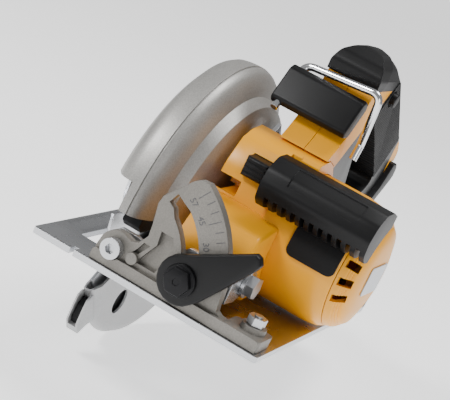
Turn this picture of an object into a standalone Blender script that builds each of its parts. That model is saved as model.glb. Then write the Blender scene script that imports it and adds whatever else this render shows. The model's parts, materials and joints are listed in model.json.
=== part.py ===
# Cordless circular saw with a blade of about 180 mm, standing on its shoe.
# Frame: +X cutting direction, +Y motor side, +Z up, origin on the sole of the shoe at its centre.
# Lengths below are in millimetres and are scaled to metres when each object is made.
import math

import bmesh
import bpy
from mathutils import Matrix, Vector

# ---------------------------------------------------------------- driving dimensions
SHOE_L, SHOE_W, SHOE_T = 295.0, 146.6, 3.6
OPEN_X0, OPEN_X1 = -88.0, 118.0          # blade opening, front to rear
OPEN_Y0, OPEN_Y1 = -57.6, -27.0          # blade opening, across
AX, AZ = 23.5, 22.0                      # blade axis above the sole
BLADE_Y = -47.0                          # middle plane of the blade
BLADE_R, BLADE_T = 89.6, 1.8
TILT_Y, TILT_Z = -27.0, 14.6             # bevel axis, parallel to X
PIN_X, PIN_Z = 112.0, 25.5               # depth axis, parallel to Y
STUD_Y, STUD_Z = 18.0, 20.4              # bevel clamp stud, parallel to X
QUAD_X0, QUAD_X1 = 136.0, 142.0          # bevel quadrant, back and front face
LINK_X0, LINK_X1 = 130.2, 133.6          # link plate behind it
MX, MZ, MR = 45.0, 45.6, 40.5            # motor barrel axis and radius
RX, RZ = 35.52, 35.2                     # rotor axis
HY, HW = 20.6, 16.0                      # handle middle plane and half width
GEAR_T, PINION_T, GEAR_M = 26, 8, 1.05
ARM_R, A_REST, DEPTH_DEG = 118.0, 178.5, 28.0    # depth arm radius, stud angle at rest, swing
ARM_Y0, ARM_Y1 = -13.4, -10.9
GAP = 0.3

MM = 0.001
for o in list(bpy.data.objects):
    bpy.data.objects.remove(o, do_unlink=True)

saw = bpy.data.collections.new("circular_saw")
bpy.context.scene.collection.children.link(saw)
MATS = {}


def material(name, rgb, rough, metal=0.0):
    m = bpy.data.materials.new(name)
    m.use_nodes = True
    b = m.node_tree.nodes["Principled BSDF"]
    b.inputs["Base Color"].default_value = (*rgb, 1.0)
    b.inputs["Roughness"].default_value = rough
    b.inputs["Metallic"].default_value = metal
    m.diffuse_color = (*rgb, 1.0)
    MATS[name] = m


material("yellow_plastic", (0.90, 0.48, 0.02), 0.42)
material("black_plastic", (0.018, 0.018, 0.020), 0.45)
material("black_rubber", (0.03, 0.03, 0.032), 0.7)
material("cast_magnesium", (0.42, 0.40, 0.37), 0.48, 0.35)
material("cast_bracket", (0.30, 0.28, 0.25), 0.5, 0.35)
material("shoe_aluminium", (0.72, 0.73, 0.75), 0.32, 0.9)
material("guard_aluminium", (0.74, 0.74, 0.74), 0.5, 0.5)
material("zinc_steel", (0.62, 0.64, 0.66), 0.3, 1.0)
material("black_steel", (0.03, 0.03, 0.03), 0.4, 0.6)
material("chrome_wire", (0.80, 0.81, 0.83), 0.12, 1.0)
material("blade_steel", (0.66, 0.67, 0.69), 0.28, 1.0)
material("gear_steel", (0.45, 0.45, 0.47), 0.35, 1.0)
material("copper_stack", (0.45, 0.25, 0.15), 0.5, 0.6)
material("board_green", (0.05, 0.20, 0.08), 0.6)
material("label_grey", (0.72, 0.74, 0.76), 0.4)


# ---------------------------------------------------------------- shape helpers
def finish(bm):
    bmesh.ops.remove_doubles(bm, verts=bm.verts, dist=1e-4)
    bmesh.ops.recalc_face_normals(bm, faces=bm.faces)
    return bm


def place(bm, plane):
    """Local (u, v, w) to the frame: XY keeps w on Z, XZ puts w on Y, YZ puts w on X."""
    for v in bm.verts:
        a, b, c = v.co
        v.co = {"XY": (a, b, c), "XZ": (a, c, b), "YZ": (c, a, b)}[plane]
    return bm


def prism(loops, plane, w0, w1):
    """Outline with holes, filled and extruded from w0 to w1 along the plane's normal."""
    if not isinstance(loops[0][0], (tuple, list)):
        loops = [loops]
    cu = bpy.data.curves.new("outline", "CURVE")
    cu.dimensions = "2D"
    cu.fill_mode = "BOTH"
    for loop in loops:
        sp = cu.splines.new("POLY")
        sp.points.add(len(loop) - 1)
        for p, (a, b) in zip(sp.points, loop):
            p.co = (a, b, 0.0, 1.0)
        sp.use_cyclic_u = True
    cu.extrude = (w1 - w0) / 2
    ob = bpy.data.objects.new("outline", cu)
    bpy.context.scene.collection.objects.link(ob)
    graph = bpy.context.evaluated_depsgraph_get()
    me = bpy.data.meshes.new_from_object(ob.evaluated_get(graph))
    bm = bmesh.new()
    bm.from_mesh(me)
    bpy.data.objects.remove(ob, do_unlink=True)
    bpy.data.curves.remove(cu)
    bpy.data.meshes.remove(me)
    for v in bm.verts:
        v.co.z += (w0 + w1) / 2
    finish(bm)
    bmesh.ops.dissolve_limit(bm, angle_limit=0.01, verts=bm.verts, edges=bm.edges)
    place(bm, plane)
    return finish(bm)


def revolve(profile, axis, centre, steps=48, arc=360.0, start=0.0):
    """Profile of (radius, height) turned about an axis. A profile off the axis is closed on itself."""
    bm = bmesh.new()
    vs = [bm.verts.new((r, 0.0, h)) for r, h in profile]
    es = [bm.edges.new((a, b)) for a, b in zip(vs, vs[1:])]
    ring = profile[0][0] > 1e-6 or profile[-1][0] > 1e-6
    if ring:
        es.append(bm.edges.new((vs[-1], vs[0])))
    if start:
        bmesh.ops.rotate(bm, verts=bm.verts, cent=(0, 0, 0), matrix=Matrix.Rotation(math.radians(start), 3, "Z"))
    geom = list(bm.verts) + list(bm.edges)
    if abs(arc - 360.0) < 1e-6:
        bmesh.ops.spin(bm, geom=geom, cent=(0, 0, 0), axis=(0, 0, 1), angle=math.radians(360), steps=steps, use_merge=True)
    else:
        first = bmesh.ops.contextual_create(bm, geom=es)["faces"] if ring else []
        geom = list(bm.verts) + list(bm.edges) + list(first)
        bmesh.ops.spin(bm, geom=geom, cent=(0, 0, 0), axis=(0, 0, 1), angle=math.radians(arc), steps=steps)
    bmesh.ops.remove_doubles(bm, verts=bm.verts, dist=1e-4)
    bmesh.ops.dissolve_degenerate(bm, edges=bm.edges, dist=1e-5)
    place(bm, {"Z": "XY", "Y": "XZ", "X": "YZ"}[axis])
    c = Vector(centre)
    for v in bm.verts:
        v.co += c
    return finish(bm)


def rod(r, axis, centre, w0, w1, n=24, r2=None):
    """Round bar or cone from w0 to w1 along an axis through centre (two coordinates in plane order)."""
    r2 = r if r2 is None else r2
    c = {"X": (0, centre[0], centre[1]), "Y": (centre[0], 0, centre[1]), "Z": (centre[0], centre[1], 0)}[axis]
    return revolve([(0, w0), (r, w0), (r2, w1), (0, w1)], axis, c, n)


def ring(r0, r1, axis, centre, w0, w1, n=24):
    c = {"X": (0, centre[0], centre[1]), "Y": (centre[0], 0, centre[1]), "Z": (centre[0], centre[1], 0)}[axis]
    return revolve([(r0, w0), (r1, w0), (r1, w1), (r0, w1)], axis, c, n)


def box(x0, x1, y0, y1, z0, z1):
    bm = bmesh.new()
    bmesh.ops.create_cube(bm, size=1.0)
    for v in bm.verts:
        v.co = ((x0 + x1) / 2 + v.co.x * (x1 - x0), (y0 + y1) / 2 + v.co.y * (y1 - y0), (z0 + z1) / 2 + v.co.z * (z1 - z0))
    return finish(bm)


def hexbar(r, axis, centre, w0, w1, turn=0.0):
    pts = [(centre[0] + r * math.cos(math.radians(60 * k + turn)), centre[1] + r * math.sin(math.radians(60 * k + turn))) for k in range(6)]
    return prism(pts, {"X": "YZ", "Y": "XZ", "Z": "XY"}[axis], w0, w1)


def soften(bm, width, segs=2, pick=None, angle=28.0):
    """Round the sharp edges that pick(midpoint, edge) accepts."""
    bmesh.ops.dissolve_limit(bm, angle_limit=0.01, verts=bm.verts, edges=bm.edges)
    es = []
    for e in bm.edges:
        if len(e.link_faces) != 2:
            continue
        if math.degrees(e.calc_face_angle(0.0)) < angle:
            continue
        mid = (e.verts[0].co + e.verts[1].co) / 2
        if pick is None or pick(mid, e):
            es.append(e)
    if es:
        bmesh.ops.bevel(bm, geom=es, offset=width, segments=segs, profile=0.5, affect="EDGES", clamp_overlap=True)
    return finish(bm)


def to_object(bm, name):
    me = bpy.data.meshes.new(name)
    bm.to_mesh(me)
    ob = bpy.data.objects.new(name, me)
    bpy.context.scene.collection.objects.link(ob)
    return ob


def boole(a, b, op):
    """EXACT Boolean of two closed meshes; the cutter is removed afterwards."""
    oa, ob = to_object(a, "work"), to_object(b, "cutter")
    m = oa.modifiers.new("b", "BOOLEAN")
    m.operation, m.solver, m.object = op, "EXACT", ob
    graph = bpy.context.evaluated_depsgraph_get()
    me = bpy.data.meshes.new_from_object(oa.evaluated_get(graph))
    bm = bmesh.new()
    bm.from_mesh(me)
    for o in (oa, ob):
        d = o.data
        bpy.data.objects.remove(o, do_unlink=True)
        bpy.data.meshes.remove(d)
    bpy.data.meshes.remove(me)
    bmesh.ops.remove_doubles(bm, verts=bm.verts, dist=1e-4)
    return bm


def cut(a, *bs):
    for b in bs:
        a = boole(a, b, "DIFFERENCE")
    return a


def fuse(a, *bs):
    for b in bs:
        a = boole(a, b, "UNION")
    return a


def tube(points, r, sides=8):
    cu = bpy.data.curves.new("wire", "CURVE")
    cu.dimensions = "3D"
    cu.bevel_depth = r
    cu.bevel_resolution = sides // 2 - 2
    cu.use_fill_caps = True
    sp = cu.splines.new("POLY")
    sp.points.add(len(points) - 1)
    for p, q in zip(sp.points, points):
        p.co = (*q, 1.0)
    ob = bpy.data.objects.new("wire", cu)
    bpy.context.scene.collection.objects.link(ob)
    graph = bpy.context.evaluated_depsgraph_get()
    me = bpy.data.meshes.new_from_object(ob.evaluated_get(graph))
    bm = bmesh.new()
    bm.from_mesh(me)
    bpy.data.objects.remove(ob, do_unlink=True)
    bpy.data.curves.remove(cu)
    bpy.data.meshes.remove(me)
    return finish(bm)


def fillet_path(pts, r, n=4):
    """Polyline with each inner corner rounded to radius r."""
    out = [Vector(pts[0])]
    for a, b, c in zip(pts, pts[1:], pts[2:]):
        a, b, c = Vector(a), Vector(b), Vector(c)
        u, v = (a - b).normalized(), (c - b).normalized()
        half = u.angle(v) / 2
        t = min(r / math.tan(half), 0.45 * (a - b).length, 0.45 * (c - b).length)
        p, q = b + u * t, b + v * t
        for k in range(n + 1):
            s = k / n
            out.append((1 - s) ** 2 * p + 2 * s * (1 - s) * b + s * s * q)
    out.append(Vector(pts[-1]))
    return [tuple(p) for p in out]


def arc_pts(cx, cy, r, a0, a1, n):
    return [(cx + r * math.cos(math.radians(a0 + (a1 - a0) * k / n)), cy + r * math.sin(math.radians(a0 + (a1 - a0) * k / n))) for k in range(n + 1)]


def round_loop(pts, r, n=3):
    """Closed 2D outline with its corners rounded; r is one radius or one per corner."""
    out = []
    m = len(pts)
    for i in range(m):
        a, b, c = Vector(pts[i - 1]), Vector(pts[i]), Vector(pts[(i + 1) % m])
        ri = r[i] if isinstance(r, (list, tuple)) else r
        if ri <= 0:
            out.append(tuple(b))
            continue
        u, v = (a - b), (c - b)
        lu, lv = u.length, v.length
        u, v = u / lu, v / lv
        ang = u.angle(v)
        if ang > math.radians(172):
            out.append(tuple(b))
            continue
        t = min(ri / math.tan(ang / 2), 0.48 * lu, 0.48 * lv)
        p, q = b + u * t, b + v * t
        for k in range(n + 1):
            s = k / n
            out.append(tuple((1 - s) ** 2 * p + 2 * s * (1 - s) * b + s * s * q))
    return out


PIVOTS = {}


def pivot(name, loc, parent=None):
    """Empty on a joint axis; the bodies that turn about it hang from it."""
    e = bpy.data.objects.new(name, None)
    e.empty_display_size = 0.02
    saw.objects.link(e)
    e.location = Vector(loc) * MM
    if parent:
        p = PIVOTS[parent]
        e.location = Vector(loc) * MM - Vector(p[1]) * MM
        e.parent = p[0]
    PIVOTS[name] = (e, loc)


def part(name, bm, mat, at=None, smooth=35.0):
    o0 = Vector(PIVOTS[at][1]) if at else Vector((0, 0, 0))
    for v in bm.verts:
        v.co = (v.co - o0) * MM
    bmesh.ops.triangulate(bm, faces=bm.faces)
    me = bpy.data.meshes.new(name)
    bm.to_mesh(me)
    bm.free()
    me.materials.append(MATS[mat])
    me.polygons.foreach_set("use_smooth", [True] * len(me.polygons))
    me.set_sharp_from_angle(angle=math.radians(smooth))
    ob = bpy.data.objects.new(name, me)
    saw.objects.link(ob)
    if at:
        ob.parent = PIVOTS[at][0]
    return ob


# ---------------------------------------------------------------- joint axes
pivot("axis_bevel", (0, TILT_Y, TILT_Z))
pivot("axis_depth", (PIN_X, 0, PIN_Z), "axis_bevel")
pivot("axis_blade", (AX, BLADE_Y, AZ), "axis_depth")
pivot("axis_guard", (AX, BLADE_Y + 6, AZ), "axis_depth")
pivot("axis_rotor", (RX, 40, RZ), "axis_depth")
pivot("axis_bevel_lever", (150, STUD_Y, STUD_Z), "axis_bevel")

# ================================================================ SHOE
x1, y1 = SHOE_L / 2, SHOE_W / 2
outline = [(-x1, -y1 + 3), (-x1 + 3, -y1), (x1 - 1.5, -y1), (x1, -y1 + 1.5),
           (x1, BLADE_Y - 1.3), (x1 - 6, BLADE_Y - 1.3), (x1 - 6, BLADE_Y + 1.3), (x1, BLADE_Y + 1.3),
           (x1, y1 - 1.5), (x1 - 1.5, y1), (-46, y1), (-x1 + 5, 56), (-x1, 51)]
opening = round_loop([(OPEN_X0, OPEN_Y0), (OPEN_X0, OPEN_Y1), (-4, OPEN_Y1), (-4, -14), (51, -14), (51, OPEN_Y1), (97, OPEN_Y1), (OPEN_X1, -43), (OPEN_X1, OPEN_Y0)], [2, 3, 2, 3, 3, 2, 6, 3, 1.5], 2)
part("shoe_plate", prism([outline, opening], "XY", 0, SHOE_T), "shoe_aluminium")

# ---- front bevel quadrant: foot, pivot lug, ribs, slotted arc
T, Z0 = (TILT_Y, TILT_Z), SHOE_T + GAP
R_OUT, R_TOP = 67.0, 62.0
quad = [(-37.5, Z0), (-37.5, 12)] + arc_pts(T[0], T[1], 9.8, 165, 75, 4)
quad += [(-19.5, 22.5), (-15.5, 24), (-12, 30), (-12.6, 37), (-14.6, 49), (-13.6, 54.0), (-6.0, 63.5), (-1.0, 69.6), (2.0, 71.6)]
quad += arc_pts(T[0], T[1], R_OUT, 59, 1, 12)
quad += [(40.6, 12.2), (43.5, 10.6), (70, 10.6), (70, Z0)]
slot = arc_pts(T[0], T[1], 39.6, 2.6, 52, 6) + arc_pts(T[0], T[1], 42.0, 59, 65, 2) + arc_pts(T[0], T[1], 48.8, 65, 59, 2) + arc_pts(T[0], T[1], 49.8, 52, 2.6, 6)
hole = arc_pts(T[0], T[1], 3.9, 0, 337.5, 15)
q = prism([quad, slot, hole], "YZ", QUAD_X0, QUAD_X1)
# shallow panels between the ribs on the front face
for tri in ([(-19, 13.5), (-14.5, 21), (-12.5, 25.5), (-8.5, 25.5), (-16, 13.5)],
            [(-12.8, 13.5), (-5.2, 28), (-6.2, 36), (1.5, 36), (6.0, 26), (-0.4, 13.5)],
            [(2.6, 13.5), (8.0, 23.5), (8.4, 13.5)]):
    q = cut(q, prism(tri, "YZ", QUAD_X1 - 3.4, QUAD_X1 + 2))
foot = prism(round_loop([(-37.5, Z0), (70, Z0), (70, 10.6), (-37.5, 10.6)], [0, 0, 2.0, 2.5], 2), "YZ", QUAD_X0 + 0.6, 145.2)
tail = prism(round_loop([(123, 47), (145.2, 47), (145.2, 70.6), (123, 70.6)], 4, 2), "XY", Z0, 10.7)
boss = rod(8.2, "Z", (132, 60.5), Z0, 14.0, 16, 7.2)
q = fuse(q, foot, tail, boss)
q = cut(q, rod(2.9, "Z", (132, 60.5), 0, 20, 12), rod(6.5, "X", T, QUAD_X1 + 0.05, 160, 20))
lug2 = rod(3.4, "X", (-14.8, 14.6), QUAD_X1 - 4, QUAD_X1 + 2.4, 10)
q = fuse(q, lug2)
part("bevel_quadrant", q, "cast_bracket")

# ---- front bevel pivot screw
s = fuse(rod(3.5, "X", T, 126.2, 143.2, 16), rod(6.0, "X", T, QUAD_X1 + GAP, 148.2, 20))
s = cut(s, hexbar(3.0, "X", T, 145.2, 150))
part("bevel_pivot_screw_front", s, "zinc_steel")

# ---- quadrant fixing: screw through the shoe and a nut in the boss
part("quadrant_screw", rod(2.5, "Z", (132, 60.5), Z0, 19.8, 12), "zinc_steel")
n = cut(hexbar(5.6, "Z", (132, 60.5), 14.3, 19.0), rod(2.75, "Z", (132, 60.5), 10, 25, 12))
part("quadrant_nut", n, "zinc_steel")

# ---- rear bevel bracket: bent steel, ear around the rear pivot
rb = prism(round_loop([(-38, Z0), (-38, 16), (-33, 23), (-21, 23), (-15, 16), (-12, Z0 + 2.6), (26, Z0 + 2.6), (26, Z0)], [0, 3, 4, 4, 3, 2, 2, 0], 2), "YZ", -141.0, -138.0)
rb = fuse(rb, prism(round_loop([(-141, -37), (-122, -37), (-122, 26), (-141, 26)], 2, 1), "XY", Z0, Z0 + 2.6))
rb = cut(rb, rod(3.9, "X", T, -150, -130, 16))
part("bevel_bracket_rear", rb, "zinc_steel")
s = fuse(rod(3.5, "X", T, -142.0, -128.2, 16), rod(6.0, "X", T, -146.0, -141.3, 16))
part("bevel_pivot_screw_rear", s, "zinc_steel")

# ================================================================ BEVEL CARRIAGE
EAR_Y0, EAR_Y1 = 37.4, 40.4
lp = [(-36.0, 10.0), (-36.0, 19), (-31, 24.0), (-20, 24.0), (-12, 21.5), (2, 26), (10, 33.5), (24, 33.5), (33, 33), (EAR_Y1, 33), (EAR_Y1, 15.5), (30, 11.8), (8, 10.9), (-10, 8.0), (-30, 8.0)]
lp = round_loop(lp, [3, 3, 3, 3, 3, 3, 3, 3, 0, 0, 0, 3, 3, 3, 3], 2)
link = prism([lp, arc_pts(T[0], T[1], 3.9, 0, 337.5, 15)], "YZ", LINK_X0, LINK_X1)
ear = prism(round_loop([(LINK_X1, 15.5), (LINK_X1, 33), (120, 35.5), (PIN_X + 3, PIN_Z + 9.6), (PIN_X - 7, PIN_Z + 7.4), (PIN_X - 9.6, PIN_Z), (PIN_X - 6, PIN_Z - 8), (PIN_X + 4, PIN_Z - 9.2), (120, 14.6)], [0, 0, 4, 5, 5, 5, 5, 5, 4], 2), "XZ", EAR_Y0, EAR_Y1)
link = fuse(link, ear)
link = cut(link, rod(4.1, "Y", (PIN_X, PIN_Z), 30, 50, 16), rod(3.1, "X", (STUD_Y, STUD_Z), 120, 140, 12))
part("front_link_plate", link, "zinc_steel", "axis_bevel")

# ---- clamp stud through the slot
st = fuse(rod(2.9, "X", (STUD_Y, STUD_Z), 129, 157.0, 14), rod(6.2, "X", (STUD_Y, STUD_Z), 126.4, LINK_X0 - 0.2, 14))
part("bevel_clamp_stud", st, "zinc_steel", "axis_bevel")

# ---- depth pivot pin: head outside the ear, shank through the lug of the saw body
pn = fuse(rod(4.0, "Y", (PIN_X, PIN_Z), 0.5, 41.5, 16), rod(8.2, "Y", (PIN_X, PIN_Z), EAR_Y1 + 0.2, 42.6, 20), hexbar(6.9, "Y", (PIN_X, PIN_Z), 42.0, 47.6, 12))
part("depth_pivot_pin", pn, "zinc_steel", "axis_bevel")

# ---- rear link: joins the rear bevel pivot to the depth arm
rl = prism([round_loop([(-34.5, 12), (-34.5, 18), (-31, 22), (-22, 22.5), (-14, 19), (-8.5, 18), (-8.5, 9), (-22, 8.2), (-31, 9.5)], [2, 3, 3, 3, 2, 2, 1, 2, 2], 2), arc_pts(T[0], T[1], 3.9, 0, 337.5, 15)], "YZ", -134.0, -131.0)
part("rear_link_plate", rl, "zinc_steel", "axis_bevel")
# arc about the depth axis, slotted for the clamp, on a strip that runs along the shoe
A_LO, A_HI = 181.0, A_REST - DEPTH_DEG - 3.4
arm = arc_pts(PIN_X, PIN_Z, ARM_R + 5.4, A_LO, A_HI, 12) + arc_pts(PIN_X, PIN_Z, ARM_R - 5.4, A_HI, A_LO, 12)
aslot = arc_pts(PIN_X, PIN_Z, ARM_R + 3.2, A_REST + 1.7, A_HI + 1.6, 12) + arc_pts(PIN_X, PIN_Z, ARM_R - 3.2, A_HI + 1.6, A_REST + 1.7, 12)
am = prism([arm, aslot], "XZ", ARM_Y0, ARM_Y1)
tab = prism(round_loop([(-130.7, 9.5), (-130.7, 18.5), (-122, 18.5), (-114, 15.2), (-20, 15.2), (-11.3, 25), (-0.9, 25), (-0.9, 7.4), (-112, 7.4), (-122, 9.5)], [1, 2, 4, 4, 4, 0, 0, 2, 3, 2], 2), "XZ", ARM_Y0, ARM_Y1)
am = fuse(am, tab)
part("depth_arm", am, "zinc_steel", "axis_bevel")

# ---- bevel lever and its nut turn on the stud
P = (STUD_Y, STUD_Z)
lev = [(STUD_Y + 14.2 * math.cos(math.radians(a)), STUD_Z + 14.2 * math.sin(math.radians(a))) for a in range(130, 301, 17)]
lev = lev + [(31, 13.5), (40, 26), (52.5, 44.5), (54.6, 48.8), (52.5, 52.5), (49.5, 53.6), (30, 42.5), (21, 37.5)]
lb = prism(round_loop(lev, [0] * 11 + [4, 4, 1.5, 1.5, 1.5, 1.5, 4, 4], 2), "YZ", 146.0, 151.6)
lb = soften(lb, 1.0, 1, lambda m, e: m.x > 151)
lb = cut(lb, rod(7.3, "X", P, 140, 160, 20))
part("bevel_lever", lb, "black_plastic", "axis_bevel_lever")
nb = fuse(rod(9.6, "X", P, QUAD_X1 + GAP, 145.7, 20), hexbar(7.0, "X", P, 144, 154.6, 0))
nb = cut(nb, rod(3.1, "X", P, 130, 170, 14))
part("bevel_lever_nut", nb, "black_steel", "axis_bevel_lever")

# ================================================================ UPPER GUARD
def yr(pts):
    """(y, radius) pairs to (radius, y)."""
    return [(r, y) for y, r in pts]


C3 = (AX, 0, AZ)
DS = (PIN_X + ARM_R * math.cos(math.radians(A_REST)), PIN_Z + ARM_R * math.sin(math.radians(A_REST)))
outer = revolve(yr([(-57, 0), (-57, 80), (-55.4, 88.0), (-51.5, 94.2), (-45, 96.6), (-37.0, 96.8), (-31.5, 93.6), (-27.2, 85.4), (-26.6, 81.8), (-20.0, 78.0), (-17.4, 71), (-17.4, 65), (-14, 59), (-14, 0)]), "Y", C3, 40)
cavity = revolve(yr([(-55.2, 0), (-55.2, 80.3), (-53.8, 86.6), (-50.4, 92.4), (-44.4, 94.8), (-38.0, 95.2), (-33.4, 92.2), (-29.4, 84), (-28.8, 79.8), (-21.6, 76.0), (-19.8, 70), (-19.8, 30), (-22, 20.2), (-36.8, 20.2), (-36.8, 0)]), "Y", C3, 40)
g = cut(outer, cavity)
g = cut(g, box(-200, 200, -70, -42.5, -120, 45))        # blade side stays clear of the tilting shoe
g = cut(g, box(-200, 200, -43, -28.5, -120, 27.5))
lowhub = box(-200, 200, -60, 0, -120, 27.5)
keep = fuse(rod(27.0, "Y", (AX, AZ), -28.0, -5.0, 40), rod(6.4, "Y", DS, -26.0, -5.0, 20))
keep = cut(keep, box(-60, 100, -60, 0, -60, 4.9))
lowcut = cut(lowhub, keep, rod(20.4, "Y", (AX, AZ), -60, 0, 40))
g = cut(g, lowcut)
g = fuse(g, rod(21.5, "Y", (AX, AZ), -15.0, -10.8, 40))
g = cut(g, box(-60, 100, -60, 0, -60, 4.9))
g = cut(g, rod(8.6, "Y", (AX, AZ), -60, -5, 24), rod(13.2, "Y", (AX, AZ), -31.0, -5, 24), rod(3.1, "Y", DS, -19.2, -5, 14))
part("upper_guard", g, "cast_magnesium", "axis_depth", 24)

# ================================================================ LOWER GUARD
lg = revolve(yr([(-42.0, 22.0), (-42.0, 84.4), (-44.2, 89.6), (-48.0, 92.5), (-50.2, 91.3), (-50.9, 88.0), (-50.9, 60), (-49.7, 60), (-49.7, 88.8), (-48.8, 90.9), (-46.2, 90.5), (-43.4, 83.4), (-43.4, 22.0)]), "Y", C3, 40)
# channel covers from the front mouth back round to the rear edge inside the upper guard
MOUTH = -34.5
def wedge(a0, a1, r, y0, y1):
    return prism([(AX, AZ)] + arc_pts(AX, AZ, r, a0, a1, 24), "XZ", y0, y1)
w = cut(wedge(MOUTH, MOUTH + 192, 150, -60, -30), rod(34.0, "Y", (AX, AZ), -70, -20, 32))
lg = cut(lg, w)
hubring = ring(20.6, 22.6, "Y", (AX, AZ), -43.4, -32.4, 28)
lg = fuse(lg, hubring)
# lip in front of the mouth: two converging walls with a solid tongue
def polar(a, r):
    return (AX + r * math.cos(math.radians(a)), AZ + r * math.sin(math.radians(a)))
lip = [polar(MOUTH - 0.4, 91.8), polar(MOUTH - 0.4, 97.5), polar(MOUTH - 3.0, 101.5), polar(MOUTH - 7.5, 108.0), polar(MOUTH - 12.5, 108.5), polar(MOUTH - 14, 99.4), polar(MOUTH - 17, 92.8), polar(MOUTH - 9, 91.8)]
lb = prism(lip, "XZ", -50.6, -42.3)
lg = fuse(lg, lb)
win = rod(8.2, "Y", polar(-64, 71.0), -70, -20, 20)
lg = cut(lg, win)
part("lower_guard", lg, "guard_aluminium", "axis_guard", 24)
rg = ring(20.5, 21.9, "Y", (AX, AZ), -32.1, -27.5, 20)
part("guard_return_spring", rg, "gear_steel", "axis_depth")

# ================================================================ BLADE GROUP
N_T = 24
pts = []
for k in range(N_T):
    a = 360.0 * k / N_T
    pts += [polar(a, BLADE_R), polar(a + 1.2, BLADE_R - 7.5), polar(a + 3.4, BLADE_R - 9.3), polar(a + 8.6, BLADE_R - 3.0)]
pts = list(reversed(pts))
bl = prism([pts, arc_pts(AX, AZ, 8.2, 0, 337.5, 15)], "XZ", BLADE_Y - BLADE_T / 2, BLADE_Y + BLADE_T / 2)
part("saw_blade", bl, "blade_steel", "axis_blade")
sp = revolve(yr([(-50.2, 0), (-50.2, 7.9), (-45.8, 7.9), (-45.8, 8.0), (-21.0, 8.0), (-20.8, 10.2), (-11.0, 10.2), (-10.8, 7.0), (1.9, 7.0), (2.1, 5.0), (9.6, 5.0), (9.6, 0)]), "Y", C3, 16)
sp = cut(sp, rod(3.2, "Y", (AX, AZ), -60, -34, 12))
part("spindle", sp, "gear_steel", "axis_blade")
part("inner_flange", ring(8.3, 18.5, "Y", (AX, AZ), -45.6, -37.4, 16), "gear_steel", "axis_blade")
part("outer_flange", cut(ring(8.3, 18.5, "Y", (AX, AZ), -50.2, -48.4, 16)), "gear_steel", "axis_blade")
bb = fuse(rod(3.0, "Y", (AX, AZ), -52, -36, 12), rod(11.2, "Y", (AX, AZ), -52.4, -50.5, 20), hexbar(7.4, "Y", (AX, AZ), -55.2, -52.0))
part("blade_bolt", bb, "zinc_steel", "axis_blade")


def gear(n, m, cx, cz, y0, y1, bore, phase=0.0, thick=0.33):
    rp = n * m / 2
    ra, rf = rp + 0.70 * m, rp - 1.12 * m
    p = 360.0 / n
    loop = []
    for k in range(n):
        c = k * p + phase
        for da, r in ((-0.31 * p, rf), (-thick / 2 * p * 0.55, ra), (thick / 2 * p * 0.55, ra), (0.31 * p, rf)):
            a = math.radians(c + da)
            loop.append((cx + r * math.cos(a), cz + r * math.sin(a)))
    loops = [loop]
    if bore:
        loops.append(arc_pts(cx, cz, bore, 0, 337.5, 15))
    return prism(loops, "XZ", y0, y1)


MESH_A = math.degrees(math.atan2(RZ - AZ, RX - AX))     # direction from the spindle to the rotor
part("drive_gear", gear(GEAR_T, GEAR_M, AX, AZ, -10.3, -1.6, 7.2, MESH_A), "gear_steel", "axis_blade")
pin = gear(PINION_T, GEAR_M, RX, RZ, -10.3, -1.4, None, MESH_A + 180 + 18)
sh = revolve(yr([(-2.0, 0), (-2.0, 3.2), (2.6, 3.2), (2.6, 4.0), (84.0, 4.0), (84.0, 0)]), "Y", (RX, 0, RZ), 16)
part("rotor_shaft", fuse(pin, sh), "gear_steel", "axis_rotor")
part("rotor_core", ring(4.2, 13.0, "Y", (RX, RZ), 32.0, 64.0, 16), "copper_stack", "axis_rotor")
hub = ring(4.2, 8.0, "Y", (RX, RZ), 14.0, 24.0, 12)
disc = ring(6.0, 20.5, "Y", (RX, RZ), 14.0, 15.6, 20)
fan = fuse(hub, disc)
for k in range(7):
    b = box(7.0, 19.8, -0.8, 0.8, 14.8, 22.6)
    bmesh.ops.rotate(b, verts=b.verts, cent=(0, 0, 0), matrix=Matrix.Rotation(math.radians(360 * k / 7), 3, "Z"))
    place(b, "XZ")
    for v in b.verts:
        v.co += Vector((RX, 0, RZ))
    fan = fuse(fan, finish(b))
part("cooling_fan", fan, "black_plastic", "axis_rotor")
part("spindle_bearing_outer", ring(8.4, 13.0, "Y", (AX, AZ), -30.6, -21.4, 16), "gear_steel", "axis_depth")
part("spindle_bearing_inner", ring(5.2, 8.4, "Y", (AX, AZ), 2.4, 9.0, 16), "gear_steel", "axis_depth")
part("motor_bearing_front", ring(4.2, 8.4, "Y", (RX, RZ), 2.9, 9.0, 16), "gear_steel", "axis_depth")
part("motor_bearing_rear", ring(4.15, 9.2, "Y", (RX, RZ), 76.4, 83.0, 16), "gear_steel", "axis_depth")
st = ring(14.0, 22.4, "Y", (RX, RZ), 32.0, 64.0, 20)
part("stator", st, "copper_stack", "axis_depth")

# ================================================================ GEAR HOUSING AND MOTOR HOUSING
GY0, GY1 = -10.5, 24.8
mc = (MX, MZ)
gh = [(3, 5.4), (60, 5.4), (80.0, 10.5), (80.6, 55.5)]
gh += [(80.6, 67), (79, 74), (70, 88), (60, 92.6), (47, 94.6), (37, 91.0), (25, 81.0), (13.0, 66.0), (6.0, 50.0), (1.0, 36), (0.6, 14)]
b1 = soften(prism(gh, "XZ", GY0, GY1), 2.2, 1, lambda m, e: m.y < GY0 + 0.1 and m.z > 34)
blk = [(72, 9.5), (92, 8.5), (103, 13)] + arc_pts(PIN_X, PIN_Z, 10.6, -78, 20, 6) + [(116.5, 38), (110.5, 48.5), (107, 50.5), (88, 54.5), (72, 56.0)]
b2 = soften(prism(blk, "XZ", -5.5, 37.0), 2.6, 2, lambda m, e: m.y > 36.9)
b3 = prism([(62, 60), (64, 89), (60, 92.6), (47, 94.6), (37, 91.0), (25, 81.0), (13.0, 66.0), (10, 55)], "XZ", 20, 36.8)
gb = fuse(b1, b2, b3)
gb = cut(gb, box(56, 100, -30, 3.5, 57.0, 66.5))                                      # recess below the ledge
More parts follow.
